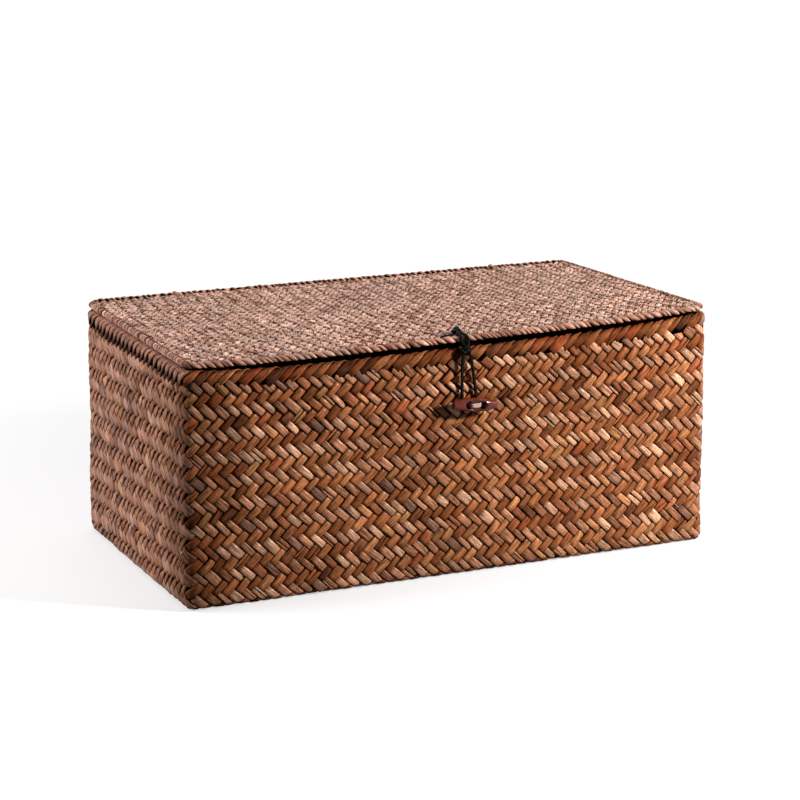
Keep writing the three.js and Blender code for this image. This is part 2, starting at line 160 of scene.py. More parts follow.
def make_piece(name, points, quads, uv, material, tint=None):
    """A smooth mesh object from points in millimetres. The UV map 'strip' holds a place across and along
    each strip or cord, and the colour attribute 'tint' a colour and a random number for each point."""
    mesh = bpy.data.meshes.new(name)
    mesh.from_pydata((points * MM).tolist(), [], quads.tolist())
    layer = mesh.uv_layers.new(name="strip")
    layer.data.foreach_set("uv", uv[quads.ravel()].astype(np.float32).ravel())
    if tint is not None:
        colours = mesh.color_attributes.new(name="tint", type="FLOAT_COLOR", domain="POINT")
        colours.data.foreach_set("color", tint.astype(np.float32).ravel())
    mesh.shade_smooth()
    mesh.materials.append(material)
    return new_object(name, mesh)


def linear(red, green, blue):
    """The linear colour of a screen colour given from 0 to 255: each part to the power 2.2."""
    return tuple((np.array([red, green, blue]) / 255) ** 2.2)


def palette(*rows):
    """Linear colours with their weights, from rows that hold a screen colour and its weight."""
    return [(*linear(*row[:3]), row[3]) for row in rows]


def shader_node(tree, kind, inputs=(), **settings):
    """A node of a kind in a tree. Settings are its properties, and inputs go by socket name or number,
    each a value or the output of another node."""
    made = tree.nodes.new("ShaderNode" + kind)
    for name, value in settings.items():
        setattr(made, name, value)
    for name, value in dict(inputs).items():
        if isinstance(value, bpy.types.NodeSocket):
            tree.links.new(value, made.inputs[name])
        else:
            made.inputs[name].default_value = value
    return made


def effect(name, inputs, outputs):
    """An empty node group with float or vector inputs and outputs, and its two end nodes."""
    tree = bpy.data.node_groups.new(name, "ShaderNodeTree")
    for label, kind in inputs.items():
        tree.interface.new_socket(label, in_out="INPUT", socket_type=kind)
    for label, kind in outputs.items():
        tree.interface.new_socket(label, in_out="OUTPUT", socket_type=kind)
    return tree, tree.nodes.new("NodeGroupInput"), tree.nodes.new("NodeGroupOutput")


def new_material(name, **surface):
    """A material with its Principled shader, on which the plain values of the finish are set."""
    made = bpy.data.materials.new(name)
    made.use_nodes = True
    shader = made.node_tree.nodes["Principled BSDF"]
    for label, value in surface.items():
        shader.inputs[label.replace("_", " ")].default_value = value
    return made, made.node_tree, shader


def scaled(tree, value, low, high, start=0.0, stop=1.0):
    """A value between start and stop carried onto low to high, and held there beyond them."""
    inputs = {0: value, 1: start, 2: stop, 3: low, 4: high}
    return shader_node(tree, "MapRange", inputs).outputs[0]


def maths(tree, operation, *values):
    """The result of a Math node on one or two values."""
    return shader_node(tree, "Math", dict(enumerate(values)), operation=operation).outputs[0]


def product(tree, *values):
    """The product of several values."""
    total = values[0]
    for value in values[1:]:
        total = maths(tree, "MULTIPLY", total, value)
    return total


def vector_maths(tree, operation, value, other):
    """The result of a Vector Math node on two vectors."""
    return shader_node(tree, "VectorMath", {0: value, 1: other}, operation=operation).outputs[0]


def lightened(tree, colour, light):
    """A colour times a number, which makes it lighter or darker."""
    return shader_node(tree, "VectorMath", {0: colour, 3: light}, operation="SCALE").outputs[0]


def noise(tree, place, scale, detail, roughness=0.5):
    """The value of a noise texture at a place."""
    inputs = {"Vector": place, "Scale": scale, "Detail": detail, "Roughness": roughness}
    return shader_node(tree, "TexNoise", inputs).outputs[0]


def bumped(tree, shader, height, distance, strength=1.0):
    """Joins a height to the shader's Normal through a Bump node."""
    inputs = {"Height": height, "Distance": distance, "Strength": strength}
    bump = shader_node(tree, "Bump", inputs)
    tree.links.new(bump.outputs[0], shader.inputs["Normal"])


# Twisted yarn: fine threads that run slantwise round a cord. It gives a height, and a wavering lightness:
# painted shade in the grooves between the threads, times a noise of fluff of uneven tone.
yarn, yarn_in, yarn_out = effect(
    "twisted_yarn",
    {"Place": "NodeSocketVector", "Threads": "NodeSocketFloat"},
    {"Lightness": "NodeSocketFloat", "Height": "NodeSocketFloat"},
)
YARN_SLANT = 0.18
FLUFF_PLACE = (9, 1.3, 1)  # how dense its noise is round and along the cord
parts = shader_node(yarn, "SeparateXYZ", {0: yarn_in.outputs["Place"]})
slant = maths(yarn, "SUBTRACT", parts.outputs[0], maths(yarn, "MULTIPLY", parts.outputs[1], YARN_SLANT))
phase = product(yarn, slant, yarn_in.outputs["Threads"], 2 * np.pi)
thread_height = scaled(yarn, maths(yarn, "SINE", phase), 0.5, 1)
fluff_place = vector_maths(yarn, "MULTIPLY", yarn_in.outputs["Place"], FLUFF_PLACE)
fluff = noise(yarn, fluff_place, scale=1.4, detail=3.0)
yarn.links.new(product(yarn, thread_height, scaled(yarn, fluff, 0.55, 1.45)), yarn_out.inputs["Lightness"])
yarn.links.new(thread_height, yarn_out.inputs["Height"])


def yarn_material(name, colour, threads, depth, **surface):
    """Cord or thread: its colour darkened by painted shade in the yarn's grooves and varied by its fluff; the
    yarn also gives the bump.
    """
    material, tree, shader = new_material(name, **surface)
    place = shader_node(tree, "UVMap", uv_map="strip")
    twist = shader_node(tree, "Group", node_tree=yarn)
    tree.links.new(place.outputs[0], twist.inputs["Place"])
    twist.inputs["Threads"].default_value = threads
    tree.links.new(lightened(tree, colour, twist.outputs["Lightness"]), shader.inputs["Base Color"])
    bumped(tree, shader, twist.outputs["Height"], depth)
    return material


cord_material = yarn_material(
    "waxed_cord", linear(20, 25, 22), threads=9.0, depth=0.00012, Roughness=0.3, Specular_IOR_Level=0.04
)
loop_line = smooth_line(
    [[TOGGLE_PLACE[0] + right, WALL_AT_TOGGLE - out, TOGGLE_PLACE[2] + up] for right, out, up in LOOP_PLACES],
    LOOP_SPACING,
)
loop = make_piece(
    "cord_loop",
    *tube(loop_line, CORD_RADIUS, (0, -1, 0), sides=15, plies=3, lay=CORD_LAY),
    cord_material,
)
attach(loop, "loop")
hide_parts("loop_cord")


# Knots and strands on the lid: the same cord. A knot with a thin cut tail lies on the lid, two strands go
# from it over the wrapped border to the slip knot, and one strand comes back under the lid and up through it.
LID_MIDDLE = 150.7
LID_SAG = 2.8  # the dip of the lid's border in the middle of the front
BORDER_HALF_WIDTH = 2.4
BORDER_HALF_HEIGHT = 1.8
FRONT_BORDER = np.array([0, -94 + BORDER_HALF_WIDTH, LID_MIDDLE - LID_SAG])
SLIP_KNOT = np.array([3.7, -97.7, 142.3])
TOP_KNOT = np.array([2.6, -85.8, 151.7])
STRAND_SPACING = 0.5
STRAND_GAP = 0.15  # between the strands and the border below them
TAIL_RADIUS = 0.6
TAIL_LAY = 3.5


def pulled_knot(centre, size, radius, turn):
    """A trefoil pulled tight. Its line is (sin t + 2 sin 2t, cos t - 2 cos 2t, -sin 3t), made small and wide
    as given, and turned about Z and then about X."""
    t = np.linspace(0, 2 * np.pi, 96, endpoint=False)
    line = np.stack([np.sin(t) + 2 * np.sin(2 * t), np.cos(t) - 2 * np.cos(2 * t), -np.sin(3 * t)], axis=1)
    line = line / 3 * np.asarray(size)
    cosine, sine = np.cos(turn[0]), np.sin(turn[0])
    line = line @ np.array([[cosine, sine, 0], [-sine, cosine, 0], [0, 0, 1]])
    cosine, sine = np.cos(turn[1]), np.sin(turn[1])
    line = line @ np.array([[1, 0, 0], [0, cosine, sine], [0, -sine, cosine]])
    slanting = (0.31, 0.52, 0.79)  # along no stretch of the line
    return tube(line + centre, radius, slanting, sides=12, plies=3, lay=CORD_LAY, closed=True)


def round_border(degrees, x, clearance):
    """A place round the border's oval section in the middle of the front, so far outside it, at an angle
    that is 90 above it and 180 in front of it."""
    angle = np.radians(degrees)
    across = (BORDER_HALF_WIDTH + clearance) * np.cos(angle)
    return FRONT_BORDER + [x, across, (BORDER_HALF_HEIGHT + clearance) * np.sin(angle)]


slip_knot = make_piece(
    "slip_knot_cord",
    *gather([
        pulled_knot(SLIP_KNOT + [-0.3, 0, -0.4], size=(2.9, 2.6, 3.2), radius=1.0, turn=(0.4, 1.35)),
        pulled_knot(SLIP_KNOT + [0.1, 0.3, -0.2], size=(1.9, 2.0, 2.2), radius=1.05, turn=(1.5, 0.5)),
    ]),
    cord_material,
)
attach(slip_knot, "knot")
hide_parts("slip_knot")

tail_places = [(-0.8, -0.6, -0.9), (-4, -2.6, -1.3), (-8, -4.2, -1.2), (-12.6, -5.4, -1.3)]
tail_line = smooth_line(TOP_KNOT + np.array(tail_places), STRAND_SPACING)
top_knot = make_piece(
    "top_knot_cord",
    *gather([
        pulled_knot(TOP_KNOT, size=(2.7, 2.2, 2.1), radius=1.15, turn=(0.5, 0.5)),
        pulled_knot(TOP_KNOT + [0.3, 0.2, -0.3], size=(1.6, 1.4, 1.6), radius=1.1, turn=(1.7, 0.2)),
        tube(tail_line, TAIL_RADIUS, (0, 0, 1), sides=9, plies=2, lay=TAIL_LAY),
    ]),
    cord_material,
)
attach(top_knot, "lid")
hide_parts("top_knot")


def over_border(side):
    """One strand from the top knot over the border to the slip knot. The two strands spread apart on the
    way, in proportion to the angle that they have gone round the border."""
    on_top = [
        round_border(angle, 2 + angle / 106 + side * (0.9 + 0.008 * angle), CORD_RADIUS + STRAND_GAP)
        for angle in (76, 100, 125, 150, 180)
    ]
    places = [TOP_KNOT + [side * 0.7, -1.2, -0.2], *on_top, SLIP_KNOT + [side * 1.1, 0.4, 2.2]]
    return tube(smooth_line(places, STRAND_SPACING), CORD_RADIUS, (1, 0, 0), sides=12, plies=3, lay=CORD_LAY)


over_strands = make_piece(
    "strands_over_border",
    *gather([over_border(-1), over_border(1)]),
    cord_material,
)
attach(over_strands, "lid")
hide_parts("over_strands")

under = FRONT_BORDER[2] - BORDER_HALF_HEIGHT - CORD_RADIUS - 0.4
under_places = [
    SLIP_KNOT + [0, 2.2, 1],
    (3.7, -91.4, under),
    (2.85, -87.2, under),
    (2, -85.3, 146.4),
    (2, -85, 148.6),
    (2, -85, 151),
]
under_line = smooth_line(under_places, STRAND_SPACING)
under_strand = make_piece(
    "strand_under_lid",
    *tube(under_line, CORD_RADIUS, (1, 0, 0), sides=12, plies=3, lay=CORD_LAY),
    cord_material,
)
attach(under_strand, "lid")
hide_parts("under_strand")


# Toggle: a spindle carved from hardwood, stained dark red-brown and polished by handling.
# Its front has a shallow oval recess with two holes. It hangs from its thread with the right end lower.
TOGGLE_LENGTH = 29.2
TOGGLE_HEIGHT = 8.7
TOGGLE_END_HEIGHT = 4.6
TOGGLE_THICKNESS = 7
TOGGLE_TILT = np.radians(5)
SQUARED_UP = 0.9  # power of sine and cosine in the section
END_ROUNDING = 0.025  # share of the half length over which an end is rounded off
RECESS_LENGTH = 14.8
RECESS_HEIGHT = 6.0
RECESS_DEPTH = 1.5
HOLE_SPACING = 9.4
HOLE_RADIUS = 2.0
HOLE_DEPTH = 3.4


def hung(points):
    """Points about the toggle's middle, turned by its tilt about Y and moved to its place on the wall."""
    cosine, sine = np.cos(TOGGLE_TILT), np.sin(TOGGLE_TILT)
    return points @ np.array([[cosine, 0, -sine], [0, 1, 0], [sine, 0, cosine]]) + TOGGLE_PLACE


def carved_spindle(rows=220, sides=150):
    """Along the length the height swells from the ends as a cosine, and the section is an ellipse squared up
    a little, because its sine and cosine are raised to the power 0.9. The knife leaves it a few hundredths
    out of round. The recess lowers the front by a smooth oval, and each hole by a steep round pit. The tint
    is painted shade: a little darker in the recess and black in the pits."""
    along = np.linspace(-1, 1, rows)[:, None]
    a = np.linspace(0, 2 * np.pi, sides, endpoint=False)[None, :]
    swell = np.cos(along * np.pi / 2) ** SQUARED_UP
    half = (TOGGLE_END_HEIGHT + (TOGGLE_HEIGHT - TOGGLE_END_HEIGHT) * swell) / 2
    to_end = np.clip((np.abs(along) - 1 + END_ROUNDING) / END_ROUNDING, 0, 0.999)
    half = half * (0.35 + 0.65 * np.sqrt(1 - to_end ** 2))
    half = half * (1 + 0.012 * np.sin(3 * a + 7 * along) + 0.01 * np.sin(11 * along + 2 * a))
    x = along * TOGGLE_LENGTH / 2 + 0 * a
    z = half * np.sign(np.cos(a)) * np.abs(np.cos(a)) ** SQUARED_UP
    y = -half * TOGGLE_THICKNESS / TOGGLE_HEIGHT * np.sign(np.sin(a)) * np.abs(np.sin(a)) ** SQUARED_UP
    front = np.clip(-y / 2, 0, 1)
    oval = np.clip(1.12 - (2 * x / RECESS_LENGTH) ** 2 - (2 * z / RECESS_HEIGHT) ** 2, 0, 1)
    y = y + front * RECESS_DEPTH * oval ** 0.3
    lit = 1 - 0.45 * front * oval ** 0.3
    for side in (-1, 1):
        away = np.hypot(x - side * HOLE_SPACING / 2, z * 0.8)
        pit = np.clip(front * 2, 0, 1) * np.clip((HOLE_RADIUS + 0.1 - away) / 0.3, 0, 1)
        y = y + HOLE_DEPTH * pit
        lit = lit * (1 - 0.95 * pit)
    points = np.stack([x, y, z], axis=-1)
    caps = points[[0, -1]].mean(axis=1, keepdims=True)
    points = np.concatenate([caps[:1] + 0 * points[:1], points, caps[1:] + 0 * points[:1]])
    quads = grid_quads(rows + 2, sides, closed_columns=True)
    along = np.concatenate([along[:1], along, along[-1:]])
    uv = paired(a / (2 * np.pi), along * TOGGLE_LENGTH / 2)
    lit = np.concatenate([lit[:1], lit, lit[-1:]]).reshape(-1, 1) * [1, 1, 1, 0] + [0, 0, 0, 1]
    return hung(points.reshape(-1, 3)), quads, uv, lit


def weld(piece):
    """Merges points that lie in one place, such as those of a cap drawn to its middle."""
    mesh = bmesh.new()
    mesh.from_mesh(piece.data)
    bmesh.ops.remove_doubles(mesh, verts=mesh.verts, dist=0.000001)
    bmesh.ops.recalc_face_normals(mesh, faces=mesh.faces)
    mesh.to_mesh(piece.data)
    mesh.free()


def two_colours(tree, value, low, dark, high, light):
    """A colour ramp from a dark colour at the low value to a light one at the high value."""
    made = shader_node(tree, "ValToRGB", {0: value})
    ends = made.color_ramp.elements
    ends[0].position, ends[0].color = low, (*dark, 1)
    ends[1].position, ends[1].color = high, (*light, 1)
    return made.outputs[0]


toggle_wood, tree, shader = new_material(
    "toggle_wood", Specular_IOR_Level=0.05, Coat_Weight=0.35, Coat_Roughness=0.14
)
place = shader_node(tree, "TexCoord").outputs["Object"]
grain_place = shader_node(tree, "Mapping", {0: place, 3: (60, 700, 900)})
grain = noise(tree, grain_place.outputs[0], scale=1.0, detail=5.0, roughness=0.6)
bands = noise(tree, place, scale=160.0, detail=2.0)
stain = two_colours(tree, grain, low=0.32, dark=linear(48, 18, 13), high=0.68, light=linear(120, 50, 34))
# The tint attribute holds painted shade: darker in the recess and black in the holes.
pit_shade = shader_node(tree, "Attribute", attribute_name="tint").outputs["Fac"]
tone = lightened(tree, stain, product(tree, scaled(tree, bands, 0.6, 1.4), pit_shade))
tree.links.new(tone, shader.inputs["Base Color"])
tree.links.new(scaled(tree, bands, 0.22, 0.48), shader.inputs["Roughness"])
bumped(tree, shader, grain, distance=0.0002, strength=0.6)
*shape, pit_shade_tint = carved_spindle()
toggle = make_piece("toggle_spindle", *shape, toggle_wood, pit_shade_tint)
weld(toggle)
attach(toggle, "toggle")
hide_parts("toggle_button")


# Toggle's thread: undyed cotton, several strands side by side. They cross the recess between the two holes,
# and behind the toggle they are wound into a stem that goes through the wall to a knot inside.
THREAD_RADIUS = 0.45
THREAD_LAY = 2.4
STEM_RADIUS = 1.2
BEHIND = 4.2  # from the toggle's middle back to where the strands turn into the stem
thread_material = yarn_material(
    "undyed_thread", linear(226, 192, 170), threads=7.0, depth=0.0001, Roughness=0.75, Specular_IOR_Level=0.1
)


def stitch_strand(height, lift):
    """One strand from behind the toggle through the left hole, over the recess and back through the right.
    It lies high or low in the holes by the height, and crosses the recess nearer the front by the lift."""
    half = HOLE_SPACING / 2 - 1.5
    face = -TOGGLE_THICKNESS / 2 + 1.1 - lift
    places = [
        (-1.6, BEHIND, height),
        (-half, 4.1, height),
        (-half, 2.6, height),
        (-half, 0.2, height),
        (-half + 0.1, face + 1.0, height - 0.3),
        (-half + 0.8, face + 0.1, height - 0.3),
        (0, face - 0.2, height * 1.15),
        (half - 0.8, face + 0.1, height + 0.3),
        (half - 0.1, face + 1.0, height + 0.3),
        (half, 0.2, height),
        (half, 2.6, height),
        (half, 4.1, height),
        (1.6, BEHIND, height),
    ]
    line = hung(smooth_line(places, 0.3))
    return tube(line, THREAD_RADIUS, (0, 0, 1), sides=8, plies=2, lay=THREAD_LAY)


strand_places = [(-0.85, 0.0), (-0.3, 0.25), (0.3, 0.2), (0.85, 0.05)]
stitch = make_piece(
    "toggle_thread",
    *gather([stitch_strand(height, lift) for height, lift in strand_places]),
    thread_material,
)
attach(stitch, "toggle")
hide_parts("toggle_stitch")

stem_line = smooth_line([TOGGLE_PLACE + [0, back, 0] for back in (3.9, 7, 13.6)], 0.4)
INSIDE_KNOT = TOGGLE_PLACE + [0, 15.2, 0]
stem = make_piece(
    "toggle_stem",
    *gather([
        tube(stem_line, STEM_RADIUS, (0, 0, 1), sides=12, plies=4, lay=4.0),
        pulled_knot(INSIDE_KNOT, size=(2.2, 1.6, 2.2), radius=0.75, turn=(0.3, 1.2)),
    ]),
    thread_material,
)
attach(stem, "box")
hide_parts("toggle_shank")


# Outer basket: flat strips of dried plant stem, 5.3 mm wide, plaited slantwise in a 2/2 twill. The strips
# that fall to the right lie light and worn in one row, and those that rise lie darker in the next. The weave
# goes on round the foot's rounded edge and under the floor. Below the floats all is in shadow.
HALF_LENGTH = 175
HALF_WIDTH = 94
RIM_HEIGHT = 147.6
BOX_CORNER = 5
TIGHTEST_TURN = 0.6
FOOT_RADIUS = 5
FOOT_SPREAD = 2
RIM_SAG = 5.5
TWIST = 2.8  # how far the right front corner of rim and lid stands up, and the left one hangs down
OUTER_FACE = -0.1
ROUND_COLUMNS = 142
ROW_PERIOD = 14.65
FIRST_ROW = -4.16
ROW_FALL = 8
LAYER_TOP = 141
LAYER_COLUMNS = 240
GROUND_GAP = 0.1  # height at which the lowest strips level off
LEVELLING = 0.2  # height within which they do so
ROOT2 = np.sqrt(2)


def plan_stops(corner):
    """Distances round the plan at which its straight sides and corners begin, from the front's left end."""
    long_side, short_side = 2 * (HALF_LENGTH - corner), 2 * (HALF_WIDTH - corner)
    return np.cumsum([0] + 2 * [long_side, corner * np.pi / 2, short_side, corner * np.pi / 2])


def on_plan(s, outset, corner=BOX_CORNER):
    """Place at a distance s round the plan, counter-clockwise from the left end of the front. It is the
    middle of its corner's circle, which slides along the straight sides, plus the circle's radius in the
    outward direction, which turns only in the corners. The radius is the corner's plus the outset, or a
    least one."""
    stops = plan_stops(corner)
    s = np.mod(s, stops[-1])
    angle = np.radians(np.interp(s, stops, [-90, -90, 0, 0, 90, 90, 180, 180, 270]))
    reach = np.maximum(corner + outset, TIGHTEST_TURN)
    middle_x = np.interp(s, stops, [-1, 1, 1, 1, 1, -1, -1, -1, -1]) * (HALF_LENGTH + outset - reach)
    middle_y = np.interp(s, stops, [-1, -1, -1, 1, 1, 1, 1, -1, -1]) * (HALF_WIDTH + outset - reach)
    return middle_x + reach * np.cos(angle), middle_y + reach * np.sin(angle)


PERIMETER = plan_stops(BOX_CORNER)[-1]
STRIP = PERIMETER / ROUND_COLUMNS / ROOT2


def share_of_front(x, y):
    """1 in the middle of the front, falling with the fourth power of x and the square of the way back."""
    return np.clip(1 - (x / HALF_LENGTH) ** 4, 0, 1) * ((HALF_WIDTH - y) / (2 * HALF_WIDTH)) ** 2


def settled(x, y, z, sag, height_share):
    """The soft body's own shape: a dip in the middle of the front, and a twist that lifts the right front
    corner and lowers the left one, both growing with height."""
    lift = TWIST * x / HALF_LENGTH * np.clip((HALF_WIDTH - y) / (2 * HALF_WIDTH), 0, 1)
    z = z - sag * share_of_front(x, y) * height_share ** 2 + lift * height_share
    return np.stack([x, y, z], axis=-1)


def wavering(s, t):
    """A few tenths of a millimetre in and out, as hand-pulled walls have: the sum of three long waves."""
    turn = 2 * np.pi * s / PERIMETER
    return (
        0.42 * np.sin(11 * turn + 1.1) * np.sin(t / 19 + 0.5)
        + 0.3 * np.sin(23 * turn + 0.3 + t / 31)
        + 0.22 * np.sin(37 * turn + 2.2) * np.cos(t / 11)
    )


def on_wall(s, t, h, face, radius, floor, hand):
    """A place on a skin of the basket: s round it, t up it and h off its surface. Above the foot t is the
    height. Below, t runs round a quarter circle of the foot's radius, and then in under the floor. Hand is 1
    for the outer face and -1 for the inner one, where h points inwards and s runs the other way."""
    foot_top = floor + radius
    angle = np.clip((foot_top - t) / radius, 0, np.pi / 2)
    inward = np.clip(foot_top - np.pi / 2 * radius - t, 0, None)
    z = np.maximum(t, foot_top) - (radius + hand * h) * np.sin(angle)
    outset = face - radius + (radius + hand * h) * np.cos(angle) - inward
    outset = outset + FOOT_SPREAD * (1 - z / RIM_HEIGHT)
    outset = outset + wavering(hand * s, t) * np.sin(np.pi * np.clip(z / RIM_HEIGHT, 0, 1)) ** 0.5
    x, y = on_plan(hand * s, outset)
    return settled(x, y, z, RIM_SAG, np.clip(z / RIM_HEIGHT, 0, 1.05))


def strip_grids(count, rows, columns):
    """Quads of so many grids of the same size, one after the other."""
    starts = np.arange(count)[:, None, None] * rows * columns
    return (grid_quads(rows, columns)[None] + starts).reshape(-1, 4)


def twill(strip, columns, rows, rng, uneven=0.1):
    """The floats of a 2/2 twill. A strip that rises keeps its alpha and one that falls its beta, with
    alpha = (s - t) / root 2 and beta = (s + t) / root 2. A float is a rectangle there, one strip wide and two
    strips long. In each column and row the rising one covers beta strips c + 2m and c + 2m + 1 on alpha
    strip c - 2m, and the falling one alpha strips c - 2m - 2 and c - 2m - 1 on beta strip c + 2m + 1.
    Each strip's edges lie a little off their even places, so that strips are wide and narrow."""
    c, m = (k.ravel() for k in np.meshgrid(np.arange(*columns), np.arange(*rows)))
    period = columns[1] - columns[0]
    shift = rng.normal(0, uneven, (2, period)).clip(-2 * uneven, 2 * uneven)

    def edge(family, k):
        """Where the low edge of strip k of a family lies: its even place plus that strip's shift."""
        return strip * (k + shift[family][k % period])

    rise_a, rise_b = c - 2 * m, c + 2 * m
    fall_a, fall_b = c - 2 * m - 2, c + 2 * m + 1
    low_a = np.concatenate([edge(0, rise_a), edge(0, fall_a)])
    high_a = np.concatenate([edge(0, rise_a + 1), edge(0, fall_a + 2)])
    low_b = np.concatenate([edge(1, rise_b), edge(1, fall_b)])
    high_b = np.concatenate([edge(1, rise_b + 2), edge(1, fall_b + 1)])
    falls = np.repeat([False, True], len(c))
    return {
        "falls": falls,
        "strip": np.concatenate([rise_a, fall_b]) % period,
        "alpha": (low_a + high_a) / 2,
        "beta": (low_b + high_b) / 2,
        "length": np.where(falls, high_a - low_a, high_b - low_b) / 2,
        "width": np.where(falls, high_b - low_b, high_a - low_a) / 2,
    }


def chosen(floats, mask):
    """Only those floats for which the mask is true."""
    return {name: values[mask] for name, values in floats.items()}


def frayed(floats, share, rng):
    """Some floats are split along their length into two slivers with a crack between them."""
    split = rng.random(len(floats["alpha"])) < share
    whole, halves = chosen(floats, ~split), chosen(floats, split)
    cut = rng.uniform(-0.45, 0.45, len(halves["alpha"]))
    slivers = []
    for low, high in ((-1, cut - 0.04), (cut + 0.04, 1)):
        part = dict(halves)
        shift = (low + high) / 2 * halves["width"]
        part["alpha"] = halves["alpha"] - np.where(halves["falls"], 0, shift)
        part["beta"] = halves["beta"] + np.where(halves["falls"], shift, 0)
        part["width"] = halves["width"] * (high - low) / 2
        slivers.append(part)
    return {name: np.concatenate([whole[name]] + [part[name] for part in slivers]) for name in floats}


def straw_tints(floats, rising, falling, rng, wander=0.15):
    """A colour for each float: half of them keep their strip's shade and half have their own, all with some
    wander in lightness. The last number of each is random, for the grain."""
    n = len(floats["alpha"])
    strips = int(floats["strip"].max()) + 1
    colours = np.zeros((n, 4))
    for family, shades in ((False, rising), (True, falling)):
        shades = np.array(shades)
        weights = shades[:, 3] / shades[:, 3].sum()
        by_strip = rng.choice(len(shades), strips, p=weights)[floats["strip"]]
        own = rng.choice(len(shades), n, p=weights)
        pick = np.where(rng.random(n) < 0.5, by_strip, own)
        mine = floats["falls"] == family
        colours[mine, :3] = shades[pick[mine], :3]
    colours[:, :3] *= rng.normal(1, wander, n).clip(0.55, 1.5)[:, None]
    colours[:, 3] = rng.random(n)
    return colours


FINE_ALONG = np.array([-1.22, -1.02, -0.88, -0.55, 0, 0.55, 0.88, 1.02, 1.22])
FINE_ACROSS = np.array([-1, -0.92, -0.5, 0, 0.5, 0.92, 1])
PLAIN_ALONG = np.array([-1.2, -0.9, -0.35, 0.35, 0.9, 1.2])
PLAIN_ACROSS = np.array([-1, -0.9, 0, 0.9, 1])
EDGE_SHARE = 0.95  # how far across a strip its upright edges begin


def float_grids(floats, stretch, start, rise, rng, along=FINE_ALONG, across=FINE_ACROSS,
                fill=0.95, crown=0.4, loose=1.0, edge=1.3, wedge=0.0):
    """s, t, h and UV of a grid of points over each float, and its quads. A float is arched along its length:
    its height is the rise times one less the fifth power of the size of u, so its ends dive under the strips
    that cross it. Across it is crowned by the square of v, and its edges drop straight down. Each one is
    turned, narrowed, tipped and raised a little by chance, more where it is loose. The wedge narrows its far
    end."""
    n = len(floats["alpha"])

    def chance(spread):
        """A random number for each float, kept within 2.2 times the spread, and larger where it is loose."""
        return loose * rng.normal(0, spread, n).clip(-2.2 * spread, 2.2 * spread)[:, None, None]

    u, v = along[None, :, None], across[None, None, :]
    length, width = floats["length"][:, None, None], floats["width"][:, None, None]
    a = length * u * (1 + chance(0.03))
    b = width * v * fill * (1 - np.abs(chance(0.04))) * (1 + chance(0.05) * u)
    b = b * (1 - wedge * np.clip(0.4 + u, 0, 1.3))
    turn = chance(0.035)
    a, b = a - b * turn, b + a * turn
    falls = floats["falls"][:, None, None]
    alpha = floats["alpha"][:, None, None] + np.where(falls, a, -b)
    beta = floats["beta"][:, None, None] + np.where(falls, b, a)
    raised = rise * (1 + chance(0.2)) * (0.75 + 0.25 * np.clip(width / (0.5 * STRIP), 0, 1.3))
    h = raised * (1 - np.abs(u) ** 5) + chance(0.14) * v - crown * v ** 2 + chance(0.1) * u
    h = np.where(np.abs(v) > EDGE_SHARE, h - edge, h) - rise
    uv = paired(v, length * u + 40 * rng.random((n, 1, 1)))
    s, t = (alpha + beta) / ROOT2, start + stretch * (beta - alpha) / ROOT2
    return s.ravel(), t.ravel(), h.ravel(), strip_grids(n, along.size, across.size), uv


def per_point(tints, along=FINE_ALONG, across=FINE_ACROSS, outline=0.1):
    """Each float's tint, once for every point of its grid, with painted shade that darkens its edges and the
    ends where it goes under the crossing strips.
    """
    ends = 1 - 0.86 * np.clip((np.abs(along) - 0.78) / 0.34, 0, 1) ** 1.5
    edge_shade = np.where(np.abs(across) > EDGE_SHARE, outline, 1 - 0.12 * np.abs(across))
    share = np.ones((along.size, across.size, 4))
    share[:, :, :3] = (ends[:, None] * edge_shade[None, :])[:, :, None]
    return (tints[:, None, :] * share.reshape(1, -1, 4)).reshape(-1, 4)


def with_painted_shade(tints, painted_shade, shape):
    """Each strip's tint, once for every point of a grid of that shape, darkened by the painted shade that is
    given.
    """
    tints = np.repeat(tints, shape[1] * shape[2], axis=0)
    tints[:, :3] *= np.broadcast_to(painted_shade, shape).reshape(-1, 1)
    return tints


# Straw grain: long pale and dark fibres that run with the strip, and now and then a dark fleck or crack.
straw, straw_in, straw_out = effect(
    "straw_grain",
    {"Place": "NodeSocketVector", "Seed": "NodeSocketFloat"},
    {"Streaks": "NodeSocketFloat", "Flecks": "NodeSocketFloat"},
)
STREAK_PLACE = (1.35, 0.06, 1)  # how dense the fibres are across and along the strip
FLECK_PLACE = (1.1, 4.5, 1)
seed = straw_in.outputs["Seed"]
seed_shift = shader_node(straw, "CombineXYZ", {0: product(straw, seed, 57.0), 2: seed})
long_place = vector_maths(straw, "MULTIPLY", straw_in.outputs["Place"], STREAK_PLACE)
long_seeded = vector_maths(straw, "ADD", long_place, seed_shift.outputs[0])
fibres = noise(straw, long_seeded, scale=1.7, detail=4.0, roughness=0.68)
straw.links.new(scaled(straw, fibres, 0, 1, start=0.33, stop=0.68), straw_out.inputs["Streaks"])
fleck_place = vector_maths(straw, "MULTIPLY", long_seeded, FLECK_PLACE)
specks = noise(straw, fleck_place, scale=1.2, detail=2.0)
straw.links.new(scaled(straw, specks, 0, 1, start=0.66, stop=0.76), straw_out.inputs["Flecks"])

# Patina: broad patches that handling and light have left paler or darker, on the object's own coordinates.
patina, patina_in, patina_out = effect("patina", {"Scale": "NodeSocketFloat"}, {"Patches": "NodeSocketFloat"})
patina_place = shader_node(patina, "TexCoord").outputs["Object"]
patches = noise(patina, patina_place, patina_in.outputs["Scale"], detail=3.0)
patina.links.new(scaled(patina, patches, 0, 1, start=0.3, stop=0.7), patina_out.inputs["Patches"])


